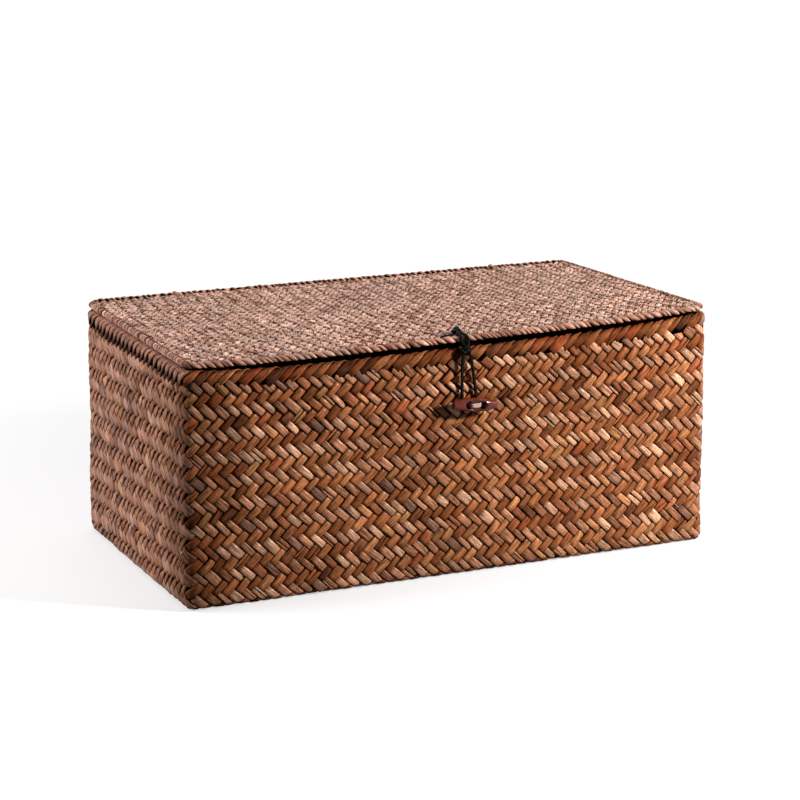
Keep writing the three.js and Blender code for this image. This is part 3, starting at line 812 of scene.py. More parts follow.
def straw_material(name, patch_size, gloss, depth):
    """Plaited straw: each strip's own tint, made lighter and darker by its fibres and flecks and by the
    patina. The fibres also change the gloss and make the bump. The waxy skin of the stem is a thin coat,
    which is worn off where the tint is dark."""
    material, tree, shader = new_material(name, Specular_IOR_Level=0.0, Coat_Roughness=0.3)
    place = shader_node(tree, "UVMap", uv_map="strip")
    tint = shader_node(tree, "Attribute", attribute_name="tint")
    fibre = shader_node(tree, "Group", node_tree=straw)
    tree.links.new(place.outputs[0], fibre.inputs["Place"])
    tree.links.new(tint.outputs["Alpha"], fibre.inputs["Seed"])
    age = shader_node(tree, "Group", node_tree=patina)
    age.inputs["Scale"].default_value = patch_size
    streaks, flecks = fibre.outputs["Streaks"], fibre.outputs["Flecks"]
    light = product(
        tree,
        scaled(tree, streaks, 0.3, 1.68),
        scaled(tree, flecks, 1.0, 0.35),
        scaled(tree, age.outputs["Patches"], 0.85, 1.15),
    )
    tree.links.new(lightened(tree, tint.outputs["Color"], light), shader.inputs["Base Color"])
    tree.links.new(scaled(tree, streaks, gloss + 0.1, gloss - 0.1), shader.inputs["Roughness"])
    sheen = scaled(tree, tint.outputs["Color"], 0, 0.5, start=0.05, stop=0.3)
    tree.links.new(sheen, shader.inputs["Coat Weight"])
    bumped(tree, shader, maths(tree, "SUBTRACT", streaks, flecks), depth)
    return material


def shaded_piece(name, points, quads, uv, material, colour, rng):
    """A piece in one dark colour, for a layer below the floats."""
    tint = np.ones((len(points), 4)) * [*colour, 0]
    tint[:, 3] = rng.random(len(points)) * 0.01
    return make_piece(name, points, quads, uv, material, tint)


RISING_SHADES = palette(
    (146, 89, 55, 5), (130, 76, 46, 4), (164, 105, 66, 3), (146, 80, 50, 1.2),
    (106, 63, 42, 1.4), (164, 110, 68, 0.5),
)
FALLING_SHADES = palette(
    (169, 116, 85, 5), (154, 102, 72, 4), (186, 137, 104, 2.4), (138, 84, 56, 2),
    (126, 90, 72, 1), (164, 110, 70, 0.6),
)
SIDE_SHADE = linear(163, 119, 99)
DEEP_SHADOW = linear(14, 7, 4)
wall_straw = straw_material("wall_straw", patch_size=13.0, gloss=0.42, depth=0.0002)

rng = np.random.default_rng(31)
STRETCH = ROW_PERIOD / (4 * STRIP / ROOT2)
FRAYED_SHARE = 0.05
FLOOR_START = (-186, -150)  # s and t where the sheet of a floor begins, outside the box
FLOOR_COLUMNS = (0, 50)
FLOOR_ROWS = (-14, 27)
plain = {"along": PLAIN_ALONG, "across": PLAIN_ACROSS}
wall_floats = frayed(twill(STRIP, (0, ROUND_COLUMNS), (-1, 11), rng), FRAYED_SHARE, rng)


def row_fall(s):
    """How far the rows hang down. They sink along the back, and climb again along the left side."""
    return np.interp(np.mod(s, PERIMETER), plan_stops(BOX_CORNER), [0, 0, 0, 0, 0, ROW_FALL, ROW_FALL, 0, 0])


def on_short_side(s):
    """Whether a distance round the basket is on its left or right side."""
    return np.abs(on_plan(s, 0)[0]) > HALF_LENGTH - 1.5


def side_and_height(floats):
    """For each float, whether it is on a short side of the basket, and the height of its middle."""
    s = (floats["alpha"] + floats["beta"]) / ROOT2
    height = FIRST_ROW + STRETCH * (floats["beta"] - floats["alpha"]) / ROOT2 - row_fall(s)
    return on_short_side(s), height


short, height = side_and_height(wall_floats)
wall_floats = chosen(wall_floats, (height > -12) & (height < LAYER_TOP - 1))
floor_floats = twill(STRIP, FLOOR_COLUMNS, FLOOR_ROWS, rng)


def drawn_in(x, y, inset, corner):
    """Points pulled inside a rounded rectangle: what reaches past the straight inner rectangle is shortened
    to the corner radius. The third result is how far each was pulled."""
    reach_x, reach_y = HALF_LENGTH - inset - corner, HALF_WIDTH - inset - corner
    over_x = np.clip(np.abs(x) - reach_x, 0, None)
    over_y = np.clip(np.abs(y) - reach_y, 0, None)
    over = np.hypot(over_x, over_y)
    share = np.minimum(1, corner / np.maximum(over, 0.0001))
    near_x = np.sign(x) * (np.minimum(np.abs(x), reach_x) + over_x * share)
    near_y = np.sign(y) * (np.minimum(np.abs(y), reach_y) + over_y * share)
    return near_x, near_y, over - np.minimum(over, corner)


def placed_floor(floats, inset, corner, height, facing, rng, **shape):
    """Floats on a flat floor or ceiling: s runs along X and t along Y, or along -Y where it faces down.
    Points outside the rounded outline are drawn in to it and pressed a little below the others."""
    s, t, h, quads, uv = float_grids(floats, stretch=1.0, start=0.0, rise=0.5, rng=rng, **shape)
    x, y = s, facing * t
    x, y, beyond = drawn_in(x, y, inset, corner)
    z = height + facing * (h - 0.5 * np.clip(beyond, 0, 1))
    return np.stack([x, y, z], axis=-1), quads, uv


def within(floats, start, inset, corner, margin):
    """Moves floats by the start, and keeps those whose middle lies in a rounded rectangle or its margin."""
    moved = dict(floats)
    moved["alpha"] = floats["alpha"] + (start[0] - start[1]) / ROOT2
    moved["beta"] = floats["beta"] + (start[0] + start[1]) / ROOT2
    x = (moved["alpha"] + moved["beta"]) / ROOT2
    y = (moved["beta"] - moved["alpha"]) / ROOT2
    return chosen(moved, drawn_in(x, y, inset, corner)[2] < margin)


floor_floats = within(floor_floats, FLOOR_START, inset=14, corner=8, margin=1.5)
wall_tints = straw_tints(wall_floats, RISING_SHADES, FALLING_SHADES, rng)
floor_tints = straw_tints(floor_floats, RISING_SHADES, FALLING_SHADES, rng)
short, height = side_and_height(wall_floats)
middle_x, middle_y = on_plan((wall_floats["alpha"] + wall_floats["beta"]) / ROOT2, 0)
many = len(middle_x)

# The short sides are paler. The front is darkest round the left corner, by painted shade, and lightest at the
# right end, by painted light.
CORNER_PAINTED_SHADE = 0.45
CORNER_REACH = 34
RIGHT_END_PAINTED_LIGHT = 0.14
paler = np.where(short, 0.35 + 0.3 * np.clip((middle_y + 90) / 180, 0, 1), 0)[:, None]
golden = np.clip(rng.normal(0, 1, (many, 1)), -1.5, 1.5) * [0, 0.05, 0.2]
side_tint = np.array(SIDE_SHADE) * (rng.normal(1, 0.18, (many, 1)) - golden)
from_corner = np.hypot(middle_x + HALF_LENGTH, middle_y + HALF_WIDTH)
wall_tints[:, :3] = (1 - paler) * wall_tints[:, :3] + paler * side_tint
wall_tints[:, :3] *= (1 + RIGHT_END_PAINTED_LIGHT * np.clip((middle_x - 110) / 60, 0, 1))[:, None]
wall_tints[:, :3] *= (1 - CORNER_PAINTED_SHADE * np.exp(-((from_corner / CORNER_REACH) ** 2)))[:, None]

# The upper rows are looser, and the weave gapes a little beside the toggle, where its thread pulls on it.
GAPE_PLACE = (-3, 121)
GAPE_REACH = (8, 13)
LOOSE_FROM = 95
front = (middle_y < 0) & ~short
gape_x, gape_z = (middle_x - GAPE_PLACE[0]) / GAPE_REACH[0], (height - GAPE_PLACE[1]) / GAPE_REACH[1]
gapes = 0.3 * front * np.exp(-gape_x ** 2 - gape_z ** 2)
for name, falls in (("outer_rising_strips", False), ("outer_falling_strips", True)):
    mine = wall_floats["falls"] == falls
    sides = short[mine][:, None, None]
    looser = np.clip((height[mine] - LOOSE_FROM) / 30, 0, 1)[:, None, None]
    fill = np.where(sides, 1.0, 0.95) - gapes[mine][:, None, None]
    if falls:
        rise, crown = np.where(sides, 0.75, 1.15 + 0.4 * looser), np.where(sides, 0.15, 0.36 + 0.15 * looser)
        wedge = 0.0
    else:
        rise, crown = np.where(sides, 0.5, 1.0 + 0.35 * looser), np.where(sides, 0.12, 0.33)
        wedge = np.where(sides, 0.5, 0.0)
    s, t, h, quads, uv = float_grids(
        chosen(wall_floats, mine), STRETCH, FIRST_ROW, rise, rng, fill=fill, crown=crown, wedge=wedge
    )
    t = t - row_fall(s)
    sunk = 1.1 * np.clip((t - 134) / 2.5, 0, 1) + (0 if falls else 0.3)  # on the short sides, below the rim
    h = h - np.repeat(short[mine], FINE_ALONG.size * FINE_ACROSS.size) * sunk
    wall_points = on_wall(s, t, h, OUTER_FACE, FOOT_RADIUS, floor=0, hand=1)
    mine_below = floor_floats["falls"] == falls
    floor_points, floor_quads, floor_uv = placed_floor(
        chosen(floor_floats, mine_below), inset=12, corner=8, height=0.7, facing=-1, rng=rng, **plain
    )
    points, quads, uv = gather([(wall_points, quads, uv), (floor_points, floor_quads, floor_uv)])
    # The box's weight presses the lowest strips flat: their heights level off smoothly just above the ground.
    points[:, 2] = GROUND_GAP + LEVELLING * np.logaddexp(0, (points[:, 2] - GROUND_GAP) / LEVELLING)
    tint = np.vstack([per_point(wall_tints[mine]), per_point(floor_tints[mine_below], **plain)])
    strips = make_piece(name, points, quads, uv, wall_straw, tint)
    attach(strips, "box")
    if falls:
        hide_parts("outer_basket")


def shaded_skin(face, radius, floor, hand, top, depth):
    """The layer below the floats: rings round the basket from the top down the wall, round the foot and in
    along the floor, drawn together to a point in the middle."""
    foot_end = floor + radius - np.pi / 2 * radius
    down_wall, round_foot = np.linspace(top, floor + radius, 22), np.linspace(floor + radius, foot_end, 6)
    t = np.concatenate([down_wall, round_foot[1:], [foot_end - 8]])
    s = np.linspace(0, PERIMETER, LAYER_COLUMNS, endpoint=False)
    grid_t, grid_s = np.meshgrid(t, s, indexing="ij")
    rings = on_wall(grid_s, grid_t, -depth, face, radius, floor, hand)
    shares = np.array([0.7, 0.4, 0.1, 0.0])[:, None, None]
    inner = shares * [1, 1, 0] * rings[-1][None] + [0, 0, 1] * rings[-1][None]
    points = np.concatenate([rings, inner])
    uv = paired(s[None, :] / 3, np.arange(len(points))[:, None] * 6.0)
    quads = grid_quads(len(points), len(s), closed_columns=True)[:, ::-1]
    return points.reshape(-1, 3), quads, uv


skin = shaded_skin(OUTER_FACE, FOOT_RADIUS, floor=0, hand=1, top=LAYER_TOP, depth=1.75)
outer_layer = shaded_piece("outer_shaded_layer", *skin, wall_straw, DEEP_SHADOW, rng)
weld(outer_layer)
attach(outer_layer, "box")


# Inner basket: the lining, a second basket of the same strips that lies inside the first and shows when the
# lid is open. Its strips are plainer and less worn, because nothing rubs them.
INNER_FACE = -5.0
INNER_FOOT = 1.5
INNER_FLOOR = 4.5
LINING_SHADES = palette(
    (182, 134, 90, 4), (168, 114, 72, 3), (196, 152, 108, 3), (150, 96, 58, 2),
)
lining_straw = straw_material("lining_straw", patch_size=11.0, gloss=0.55, depth=0.00015)
lining_floats = twill(STRIP, (0, ROUND_COLUMNS), (-1, 10), rng)
lining_height = FIRST_ROW + STRETCH * (lining_floats["beta"] - lining_floats["alpha"]) / ROOT2
lining_floats = chosen(lining_floats, (lining_height > 0.5) & (lining_height < LAYER_TOP - 2))
lining_floor = twill(STRIP, FLOOR_COLUMNS, FLOOR_ROWS, rng)
lining_floor = within(lining_floor, FLOOR_START, inset=11, corner=5, margin=1.5)
lining_tints = straw_tints(lining_floats, LINING_SHADES, LINING_SHADES, rng)
lining_floor_tints = straw_tints(lining_floor, LINING_SHADES, LINING_SHADES, rng)
for name, falls in (("lining_rising_strips", False), ("lining_falling_strips", True)):
    mine = lining_floats["falls"] == falls
    floats = chosen(lining_floats, mine)
    s, t, h, quads, uv = float_grids(floats, STRETCH, FIRST_ROW, rise=0.6, rng=rng, **plain)
    wall_points = on_wall(s, t, h, INNER_FACE, INNER_FOOT, INNER_FLOOR, hand=-1)
    mine_below = lining_floor["falls"] == falls
    floor_points, floor_quads, floor_uv = placed_floor(
        chosen(lining_floor, mine_below),
        inset=9, corner=5, height=INNER_FLOOR - 0.1, facing=1, rng=rng, **plain
    )
    points, quads, uv = gather([(wall_points, quads, uv), (floor_points, floor_quads, floor_uv)])
    tint = per_point(np.vstack([lining_tints[mine], lining_floor_tints[mine_below]]), **plain)
    strips = make_piece(name, points, quads, uv, lining_straw, tint)
    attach(strips, "box")
    if falls:
        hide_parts("inner_basket")

skin = shaded_skin(INNER_FACE, INNER_FOOT, INNER_FLOOR, hand=-1, top=LAYER_TOP, depth=1.3)
inner_layer = shaded_piece("lining_shaded_layer", *skin, lining_straw, DEEP_SHADOW, rng)
weld(inner_layer)
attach(inner_layer, "box")


# Rim: the rising strips run on up from the weave, fold over a cane hoop and go down inside, so the rim is a
# band of slanting strips. Their lower ends follow the falling strips, which makes a sawtooth below the band.
BAND_WIDTH = 6.1
CROWN_RADIUS = BAND_WIDTH / 2
CROWN_HEIGHT = RIM_HEIGHT - CROWN_RADIUS
BAND_ROW = 10
BAND_INSIDE = 138  # height at which the band ends on the inside
INSIDE_TOP = CROWN_HEIGHT + np.pi * CROWN_RADIUS  # where it starts down the inside, measured along the fold
BAND_START = 137.8  # height at which the shaded layer below the band begins
RIM_SHADES = palette(
    (122, 70, 42, 5), (106, 60, 36, 4), (138, 84, 52, 3), (124, 64, 38, 2),
    (88, 54, 38, 2),
)
rim_straw = straw_material("rim_straw", patch_size=13.0, gloss=0.42, depth=0.0002)


def on_rim(s, t, h):
    """A place on the folded band: t is the height up the outer face, then runs half round the crown and down
    the inner face."""
    angle = np.clip((t - CROWN_HEIGHT) / CROWN_RADIUS, 0, np.pi)
    down = np.clip(t - CROWN_HEIGHT - np.pi * CROWN_RADIUS, 0, None)
    z = np.minimum(t, CROWN_HEIGHT) + (CROWN_RADIUS + h) * np.sin(angle) - down
    outset = -CROWN_RADIUS + (CROWN_RADIUS + h) * np.cos(angle) + FOOT_SPREAD * (1 - z / RIM_HEIGHT)
    x, y = on_plan(s, outset)
    return settled(x, y, z, RIM_SAG, np.clip(z / RIM_HEIGHT, 0, 1.05))


band = twill(STRIP, (0, ROUND_COLUMNS), (BAND_ROW, BAND_ROW + 1), rng, uneven=0.13)
band = chosen(band, ~band["falls"])
count = len(band["alpha"])
middle_s = (band["alpha"] + band["beta"]) / ROOT2
short_side = on_short_side(middle_s)[:, None, None]
at_back = (np.abs(on_plan(middle_s, 0)[1] - HALF_WIDTH) < 3)[:, None, None]

# Each strip runs up from below the band and over the fold. On the short sides its lower end is narrow and
# hangs lower, so dark gaps show between the strips there.
run_up = np.concatenate([np.linspace(-1.3, 1.3, 6), np.linspace(1.9, 7.2, 11)])[None, :, None]
run_up = np.where(short_side & (run_up < 0), run_up * 1.8, run_up)
across = np.array([-1, -0.9, -0.35, 0.35, 0.9, 1])[None, None, :]
on_edge = np.abs(across) > EDGE_SHARE
flat_part = short_side & (run_up > 0.5)
chance = rng.normal(0, 1, (6, count, 1, 1)).clip(-2, 2)
open_width = np.where(short_side, 0.72 + 0.26 * np.clip((run_up + 0.6) / 0.9, 0, 1), 1.0)
a = run_up * STRIP
b = band["width"][:, None, None] * across * open_width * (0.97 + 0.02 * chance[0])
alpha = band["alpha"][:, None, None] - b + 0.02 * chance[1] * a
beta = band["beta"][:, None, None] + a
tilt = np.where(short_side, 0.12, 0.42) * (1 + 0.2 * chance[2])
h = 0.28 - tilt * across - 0.2 * across ** 2 + 0.12 * chance[3]
h = h - 0.9 * np.clip(-run_up - 0.5, 0, 1) - 0.45 * at_back
h = np.where(on_edge, h - np.where(flat_part, 0.3, 0.9), h)
grid_s = (alpha + beta) / ROOT2
grid_t = np.minimum(FIRST_ROW + STRETCH * (beta - alpha) / ROOT2, INSIDE_TOP + CROWN_HEIGHT - BAND_INSIDE)
points = on_rim(grid_s, grid_t, h + 0 * grid_s).reshape(-1, 3)
quads = strip_grids(*grid_s.shape)
uv = paired(across, a + 30 * rng.random((count, 1, 1)))
band_tints = straw_tints(band, RIM_SHADES, RIM_SHADES, rng, wander=0.13)
paler = 0.7 * short_side[:, :, 0]
band_tints[:, :3] = (1 - paler) * band_tints[:, :3] + paler * np.array(SIDE_SHADE)
# Painted shade: the strips' edges are darkened, less on the flat upper part of the short sides, and so are
# their lower ends where they go under the falling strips.
lower_end = np.clip((-run_up - 0.4) / 0.9, 0, 1)
painted_shade = np.where(on_edge, np.where(flat_part, 0.5, 0.12), 1) * (1 - 0.75 * lower_end)
tint = with_painted_shade(band_tints, painted_shade, grid_s.shape)
rim_strips = make_piece("rim_folded_strips", points, quads, uv, rim_straw, tint)
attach(rim_strips, "box")
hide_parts("rim_band")

round_s = np.linspace(0, PERIMETER, LAYER_COLUMNS, endpoint=False)
round_fold = np.linspace(CROWN_HEIGHT, INSIDE_TOP, 11)
up_and_over = np.concatenate([[BAND_START, LAYER_TOP], round_fold, [INSIDE_TOP + 6.5]])
grid_t, grid_s = np.meshgrid(up_and_over, round_s, indexing="ij")
points = on_rim(grid_s, grid_t, -0.75).reshape(-1, 3)
quads = grid_quads(*grid_t.shape, closed_columns=True)[:, ::-1]
uv = paired(grid_s / 3, grid_t)
rim_layer = shaded_piece("rim_shaded_layer", points, quads, uv, rim_straw, DEEP_SHADOW, rng)
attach(rim_layer, "box")


# Hoops: peeled cane bent round and hidden inside the folded rim and inside the lid's wrapped border.
# They keep the soft weave in its rectangular shape, and show only between strips.
LID_CORNER = 8
HOOP_POINTS = 420
RIM_HOOP_RADIUS = 1.4
LID_HOOP_RADIUS = 0.9
cane_material, tree, shader = new_material("peeled_cane", Roughness=0.4)
place = shader_node(tree, "UVMap", uv_map="strip")
long_place = shader_node(tree, "Mapping", {0: place.outputs[0], 3: (14, 0.06, 1)})
cane_grain = noise(tree, long_place.outputs[0], scale=1.5, detail=4.0)
cane_colour = two_colours(
    tree, cane_grain, low=0.3, dark=linear(136, 104, 60), high=0.7, light=linear(202, 172, 118)
)
tree.links.new(cane_colour, shader.inputs["Base Color"])
bumped(tree, shader, cane_grain, distance=0.0002)


def on_lid(s, outset, z):
    """A place round the lid's edge: the same plan as the box, with the lid's dip and the twist."""
    x, y = on_plan(s, outset, LID_CORNER)
    return settled(x, y, z, LID_SAG, 1.0)


LID_ROUND = plan_stops(LID_CORNER)[-1]
round_box = np.linspace(0, PERIMETER, HOOP_POINTS, endpoint=False)
round_lid = np.linspace(0, LID_ROUND, HOOP_POINTS, endpoint=False)
x, y = on_plan(round_box, -CROWN_RADIUS + 0.03)
rim_hoop_line = settled(x, y, np.full_like(x, CROWN_HEIGHT), RIM_SAG, CROWN_HEIGHT / RIM_HEIGHT)
rim_hoop = make_piece(
    "rim_cane", *tube(rim_hoop_line, RIM_HOOP_RADIUS, (0, 0, 1), sides=8, closed=True), cane_material
)
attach(rim_hoop, "box")
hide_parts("rim_hoop")
lid_hoop_line = on_lid(round_lid, -2.3, np.full_like(round_lid, LID_MIDDLE))
lid_hoop = make_piece(
    "lid_cane", *tube(lid_hoop_line, LID_HOOP_RADIUS, (0, 0, 1), sides=8, closed=True), cane_material
)
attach(lid_hoop, "lid")
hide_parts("lid_hoop")


# Lid panels: two flat plaited sheets, one on top and one below, with finer and paler strips, 4 mm wide.
# The rows run from front to back and lean a little to the side. The sheets' edges go into the border.
LID_STRIP = 4.0
LID_STRETCH = 0.925
LID_TOP = LID_MIDDLE + 1.5
LID_UNDER = LID_MIDDLE - 1.5
PANEL_INSET = 3.4
PANEL_CORNER = 4.6
SHEET_START = 103  # how far to the front of the lid's middle the sheet begins
LID_SHADES = palette(
    (204, 158, 136, 5), (194, 148, 125, 4), (216, 173, 150, 3), (180, 133, 110, 2),
    (200, 160, 144, 2), (156, 106, 80, 0.7),
)
LID_ALONG = np.array([-1.2, -1.0, -0.7, 0, 0.7, 1.0, 1.2])
lid_straw = straw_material("lid_straw", patch_size=12.0, gloss=0.55, depth=0.00018)


def on_panel(s, t):
    """X and Y on the lid: s runs to the back and t to the left. The rows lean to the right as they come
    forwards, and more so towards the front, by a sum of s and its square."""
    return -LID_STRETCH * t - 0.066 * s + 0.0013 * s ** 2, s


def placed_panel(floats, height, facing, rng, **shape):
    """Floats on a lid panel, which face up on top and down below, where the sheet is turned over. The panel
    has the lid's dip and twist, and a slow unevenness of its own."""
    wedge = np.where(floats["falls"], 0.1, 0.45)[:, None, None]
    s, t, h, quads, uv = float_grids(
        floats, stretch=1.0, start=0.0, rise=1.15, rng=rng,
        fill=0.99, crown=0.1, loose=0.5, edge=1.0, wedge=wedge, **shape
    )
    x, y = on_panel(s, t)
    x, y, beyond = drawn_in(facing * x, y, PANEL_INSET, PANEL_CORNER)
    uneven = 0.15 * np.sin(x / 17 + 1) * np.sin(y / 13) + 0.12 * np.sin(x / 41 + y / 23)
    z = height + facing * (h - 0.7 * np.clip(beyond, 0, 1)) + uneven
    return settled(x, y, z, LID_SAG, 1.0), quads, uv


def lid_floats(rng):
    """A sheet of twill big enough for the lid, less what lies outside its outline."""
    sheet = twill(LID_STRIP, (0, 36), (-18, 18), rng, uneven=0.07)
    sheet["alpha"] = sheet["alpha"] - SHEET_START / ROOT2
    sheet["beta"] = sheet["beta"] - SHEET_START / ROOT2
    x, y = on_panel((sheet["alpha"] + sheet["beta"]) / ROOT2, (sheet["beta"] - sheet["alpha"]) / ROOT2)
    return chosen(sheet, drawn_in(x, y, PANEL_INSET, PANEL_CORNER)[2] < 4.5)


top_floats = frayed(lid_floats(rng), share=0.04, rng=rng)
points, quads, uv = placed_panel(top_floats, LID_TOP, facing=1, rng=rng, along=LID_ALONG)
top_tints = straw_tints(top_floats, LID_SHADES, LID_SHADES, rng, wander=0.11)
tint = per_point(top_tints, along=LID_ALONG, outline=0.15)
lid_top = make_piece("lid_top_weave", points, quads, uv, lid_straw, tint)
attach(lid_top, "lid")
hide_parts("lid_top_panel")

under_floats = lid_floats(rng)
points, quads, uv = placed_panel(under_floats, LID_UNDER, facing=-1, rng=rng, **plain)
tint = per_point(straw_tints(under_floats, LID_SHADES, LID_SHADES, rng, wander=0.08), **plain)
lid_under = make_piece("lid_under_weave", points, quads, uv, lid_straw, tint)
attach(lid_under, "lid")
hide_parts("lid_under_panel")

# Between the two sheets: rings drawn together from the edge to the middle, above and below.
shares = np.array([1, 0.9, 0.6, 0.3, 0])[:, None]
x, y = on_plan(round_lid, -3.3, LID_CORNER)
upper, lower = (settled(x * shares, y * shares, LID_MIDDLE + off, LID_SAG, 1.0) for off in (0.1, -0.1))
points = np.concatenate([upper[::-1], lower])
quads = grid_quads(len(points), HOOP_POINTS, closed_columns=True)
across_core = np.arange(len(points))[:, None] * 9.0
uv = paired(round_box[None, :] / 3, across_core)
points = points.reshape(-1, 3)
lid_core = shaded_piece("lid_shaded_layer", points, quads, uv, lid_straw, linear(36, 20, 14), rng)
weld(lid_core)
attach(lid_core, "lid")


# Lid border: strips wound slantwise round the cane hoop and the sheets' edges, 3 to 7 mm wide, close together
# on the front and sides. Along the back they stand apart and dark gaps show between them.
BORDER_SHADES = palette(
    (172, 124, 104, 5), (156, 110, 88, 4), (190, 146, 126, 3), (138, 92, 74, 2),
    (172, 122, 84, 0.8),
)
STRIP_WIDTHS = [2.8, 3.6, 4.4, 5.2, 6.4]
WIDTH_SHARES = [0.2, 0.25, 0.25, 0.2, 0.1]
MOST_STRIPS = 460
border_straw = straw_material("border_straw", patch_size=13.0, gloss=0.48, depth=0.0002)


def on_border(s, angle, h):
    """A place on the border's oval section: the outset and height are the half width and half height, plus
    h, times the cosine and sine of the angle, which is 0 outside and 90 on top. Its top is a millimetre
    higher along the back."""
    angle = np.radians(angle)
    outset = -BORDER_HALF_WIDTH + (BORDER_HALF_WIDTH + h) * np.cos(angle)
    at_back = np.interp(np.mod(s, LID_ROUND), plan_stops(LID_CORNER), [0, 0, 0, 0, 1, 1, 0, 0, 0])
    half_height = BORDER_HALF_HEIGHT + h + at_back * (angle > 0)
    return on_lid(s, outset, LID_MIDDLE + half_height * np.sin(angle))


widths = rng.choice(STRIP_WIDTHS, MOST_STRIPS, p=WIDTH_SHARES) * rng.normal(1, 0.06, MOST_STRIPS)
ends = np.cumsum(widths)
count = np.searchsorted(ends, LID_ROUND)
widths = widths[:count] * LID_ROUND / ends[count - 1]
middles = np.cumsum(widths) - widths / 2
behind = (np.abs(on_plan(middles, 0, LID_CORNER)[1] - HALF_WIDTH) < 1)[:, None, None]
around = np.linspace(158, -158, 14)[None, :, None]
across = np.array([-1, -0.88, 0, 0.88, 1])[None, None, :]
on_edge = np.abs(across) > EDGE_SHARE
chance = rng.normal(0, 1, (5, count, 1, 1)).clip(-2, 2)
lead = 0.026 * (90 - around) * (1 + 0.1 * chance[0])
narrow = np.where(behind, 0.48 + 0.06 * chance[1], 0.9)
grid_s = middles[:, None, None] + lead + widths[:, None, None] / 2 * across * narrow * (1 + 0.04 * chance[2])
h = 0.14 + 0.22 * across - 0.3 * across ** 2 + 0.08 * chance[3]
h = h + 0.1 * chance[4] * np.cos(np.radians(around) / 2)
h = np.where(on_edge, h - 0.8, h) - np.where(behind & (around < 60), 0.3, 0)
points = on_border(grid_s, around + 0 * grid_s, h).reshape(-1, 3)
quads = strip_grids(*grid_s.shape)
along = np.radians(around) * BORDER_HALF_WIDTH + 30 * rng.random((count, 1, 1))
uv = paired(across, along)
wraps = {"alpha": middles, "strip": np.arange(count), "falls": np.zeros(count, bool)}
border_tints = straw_tints(wraps, BORDER_SHADES, BORDER_SHADES, rng, wander=0.12)
# Painted shade: the edges between the wraps are almost black, and each wrap darkens towards its lower side.
painted_shade = np.where(on_edge, 0.08, 1 - 0.4 * np.clip(-across, 0, 1) ** 2)
tint = with_painted_shade(border_tints, painted_shade, grid_s.shape)
border = make_piece("border_wrapping", points, quads, uv, border_straw, tint)
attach(border, "lid")
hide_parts("lid_border")

grid_angle, grid_s = np.meshgrid(np.linspace(160, -160, 21), round_lid, indexing="ij")
points = on_border(grid_s, grid_angle, -0.45).reshape(-1, 3)
quads = grid_quads(*grid_s.shape, closed_columns=True)
uv = paired(grid_s / 3, grid_angle / 9)
border_layer = shaded_piece("border_shaded_layer", points, quads, uv, border_straw, linear(12, 6, 4), rng)
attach(border_layer, "lid")


# Hinge ties: undyed plant fibre twisted into twine, knotted in a ring through the rim and round the lid's
# border at two places on the back.
tie_material = yarn_material("fibre_twine", linear(186, 136, 96), threads=6.0, depth=0.00015, Roughness=0.7)
TIE_RADIUS = 0.5
TIE_LAY = 4.0
TIE_AT = 115  # distance from the middle of the back
turns = np.radians([20, 55, 90, 125])
over_tie = np.stack([
    HALF_WIDTH - BORDER_HALF_WIDTH + (BORDER_HALF_WIDTH + 0.6) * np.cos(turns),
    LID_MIDDLE + (BORDER_HALF_HEIGHT + 1.4) * np.sin(turns),
], axis=1)
up_back = [(95.9, 145.6), (95.2, 148.6)]
down_inside = [(86.2, 153.4), (85, 151.8), (85, 150), (85, 147), (85, 142), (85.7, 140.3)]
through_rim = [(88, 140.1), (94.4, 140.1), (95.8, 141.6), (95.9, 145.4)]
tie_route = np.array([*up_back, *over_tie, *down_inside, *through_rim])
for name, node, x in (
    ("left_hinge_tie", "hinge_tie_left", -TIE_AT),
    ("right_hinge_tie", "hinge_tie_right", TIE_AT),
):
    rings = []
    for shift in (-0.6, 0.6):
        beside = x + shift * (0.8 + 0.15 * np.sin(np.arange(len(tie_route))))
        line = smooth_line(np.column_stack([beside, tie_route]), 0.5)
        rings.append(tube(line, TIE_RADIUS, (1, 0, 0), sides=10, plies=2, lay=TIE_LAY))
    rings.append(pulled_knot(np.array([x, 96.2, 145.6]), size=(1.6, 1.2, 1.7), radius=0.65, turn=(0.5, 1.3)))
    tie = make_piece(name, *gather(rings), tie_material)
    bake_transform(tie)
    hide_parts(node)


# Stray fibres: slivers that have split off the strips and stand out a little, mostly at the corners and
# along the foot. Each is still held at one end by the strip that it came from.
fibre_rng = np.random.default_rng(5)
FIBRE_RADIUS = 0.22
fibre_spots = [  # distance round the basket, height, and the way that it points
    (330, 10, 1), (327, 24, -1), (334, 40, 1), (338, 6, 1), (318, 4, -1), (1050, 96, 1), (1046, 60, -1),
    (1052, 30, 1), (60, 6, 1), (150, 3, -1), (240, 5, 1), (900, 20, 1), (960, 5, -1), (420, 8, 1),
    (690, 60, 1),
]
strays = []
for s, t, way in fibre_spots:
    reach = fibre_rng.uniform(5, 10)
    lift = fibre_rng.uniform(0.8, 2.2)
    steps = np.linspace(0, 1, 6)
    off_wall = lift * steps ** 2 - 0.3
    round_wall, up_wall = s + way * reach * steps, t + reach * steps * 0.8
    line = on_wall(round_wall, up_wall, off_wall, OUTER_FACE, FOOT_RADIUS, floor=0, hand=1)
    strays.append(tube(smooth_line(line, 0.5), FIBRE_RADIUS, (0, 0.2, 1), sides=5))
points, quads, uv = gather(strays)
tint = np.ones((len(points), 4)) * [*linear(206, 160, 116), 0.3]
fibres_piece = make_piece("stray_fibres", points, quads, uv, wall_straw, tint)
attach(fibres_piece, "box")


# Studio: a white floor and white surroundings, and three soft lamps. The brightest stands near on the right.
# Rays from the camera see the floor as white with the object's shadow. For the light it is darker, so that
# little comes back up from it, and the undersides and the gaps of the weave stay dark as in the photograph.
FLOOR_REACH = 6
FLOOR_HEIGHT = -0.0002
WHITE = (1, 1, 1, 1)


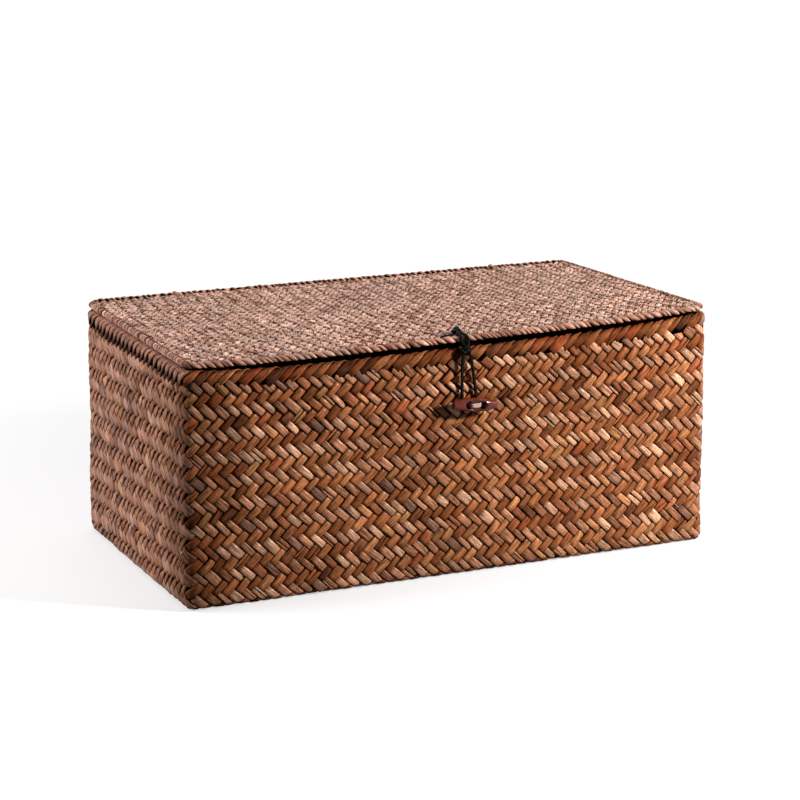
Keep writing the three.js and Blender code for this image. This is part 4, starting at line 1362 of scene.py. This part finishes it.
def shows_white(tree):
    """1 for the rays that see the white surroundings: those from the camera, in gloss and through glass."""
    path = shader_node(tree, "LightPath")
    seen = maths(tree, "MAXIMUM", path.outputs["Is Camera Ray"], path.outputs["Is Glossy Ray"])
    return maths(tree, "MAXIMUM", seen, path.outputs["Is Transmission Ray"])


floor_material = bpy.data.materials.new("floor")
floor_material.use_nodes = True
tree = floor_material.node_tree
tree.nodes.clear()
seen = shows_white(tree)
place = shader_node(tree, "TexCoord")
away = shader_node(tree, "VectorMath", {0: place.outputs["Object"]}, operation="LENGTH")
shadow_share = scaled(tree, away.outputs["Value"], 0.5, 0, start=0.3, stop=0.75)
matt_share = scaled(tree, seen, 1, shadow_share)
matt = shader_node(tree, "BsdfDiffuse", {"Color": scaled(tree, seen, 0.14, 0.9)})
glow = shader_node(tree, "Emission", {"Color": WHITE, "Strength": 1.06})
mixed = shader_node(tree, "MixShader", {0: matt_share, 1: glow.outputs[0], 2: matt.outputs[0]})
shader_node(tree, "OutputMaterial", {0: mixed.outputs[0]})
floor_mesh = bpy.data.meshes.new("floor")
corners = [(x * FLOOR_REACH, y * FLOOR_REACH, FLOOR_HEIGHT) for x, y in ((-1, -1), (1, -1), (1, 1), (-1, 1))]
floor_mesh.from_pydata(corners, [], [(0, 1, 2, 3)])
floor_mesh.materials.append(floor_material)
floor = new_object("floor", floor_mesh)

world = bpy.data.worlds.new("studio")
bpy.context.scene.world = world
world.use_nodes = True
tree = world.node_tree
tree.nodes.clear()
strength = scaled(tree, shows_white(tree), 0.05, 1)
sky = shader_node(tree, "Background", {"Color": WHITE, "Strength": strength})
shader_node(tree, "OutputWorld", {0: sky.outputs[0]})


def soft_lamp(name, place, aim, size, power, colour):
    """A square area lamp at a place, turned to face a point."""
    data = bpy.data.lights.new(name, "AREA")
    data.size, data.energy, data.color = size, power, colour
    lamp = new_object(name, data)
    lamp.location = place
    lamp.rotation_euler = (Vector(aim) - Vector(place)).to_track_quat("-Z", "Y").to_euler()


soft_lamp("key_lamp", (0.56, -0.6, 0.45), aim=(0, -0.08, 0.08), size=0.1, power=12.6, colour=(1, 0.98, 0.985))
soft_lamp("top_lamp", (-0.1, 0.45, 1.3), aim=(0, 0, 0.1), size=0.9, power=7, colour=(1, 0.985, 0.975))
soft_lamp("left_lamp", (-1.1, 0.3, 0.6), aim=(-0.1, 0, 0.08), size=0.6, power=14, colour=(1, 0.96, 0.98))

bpy.context.scene.view_settings.view_transform = "Standard"
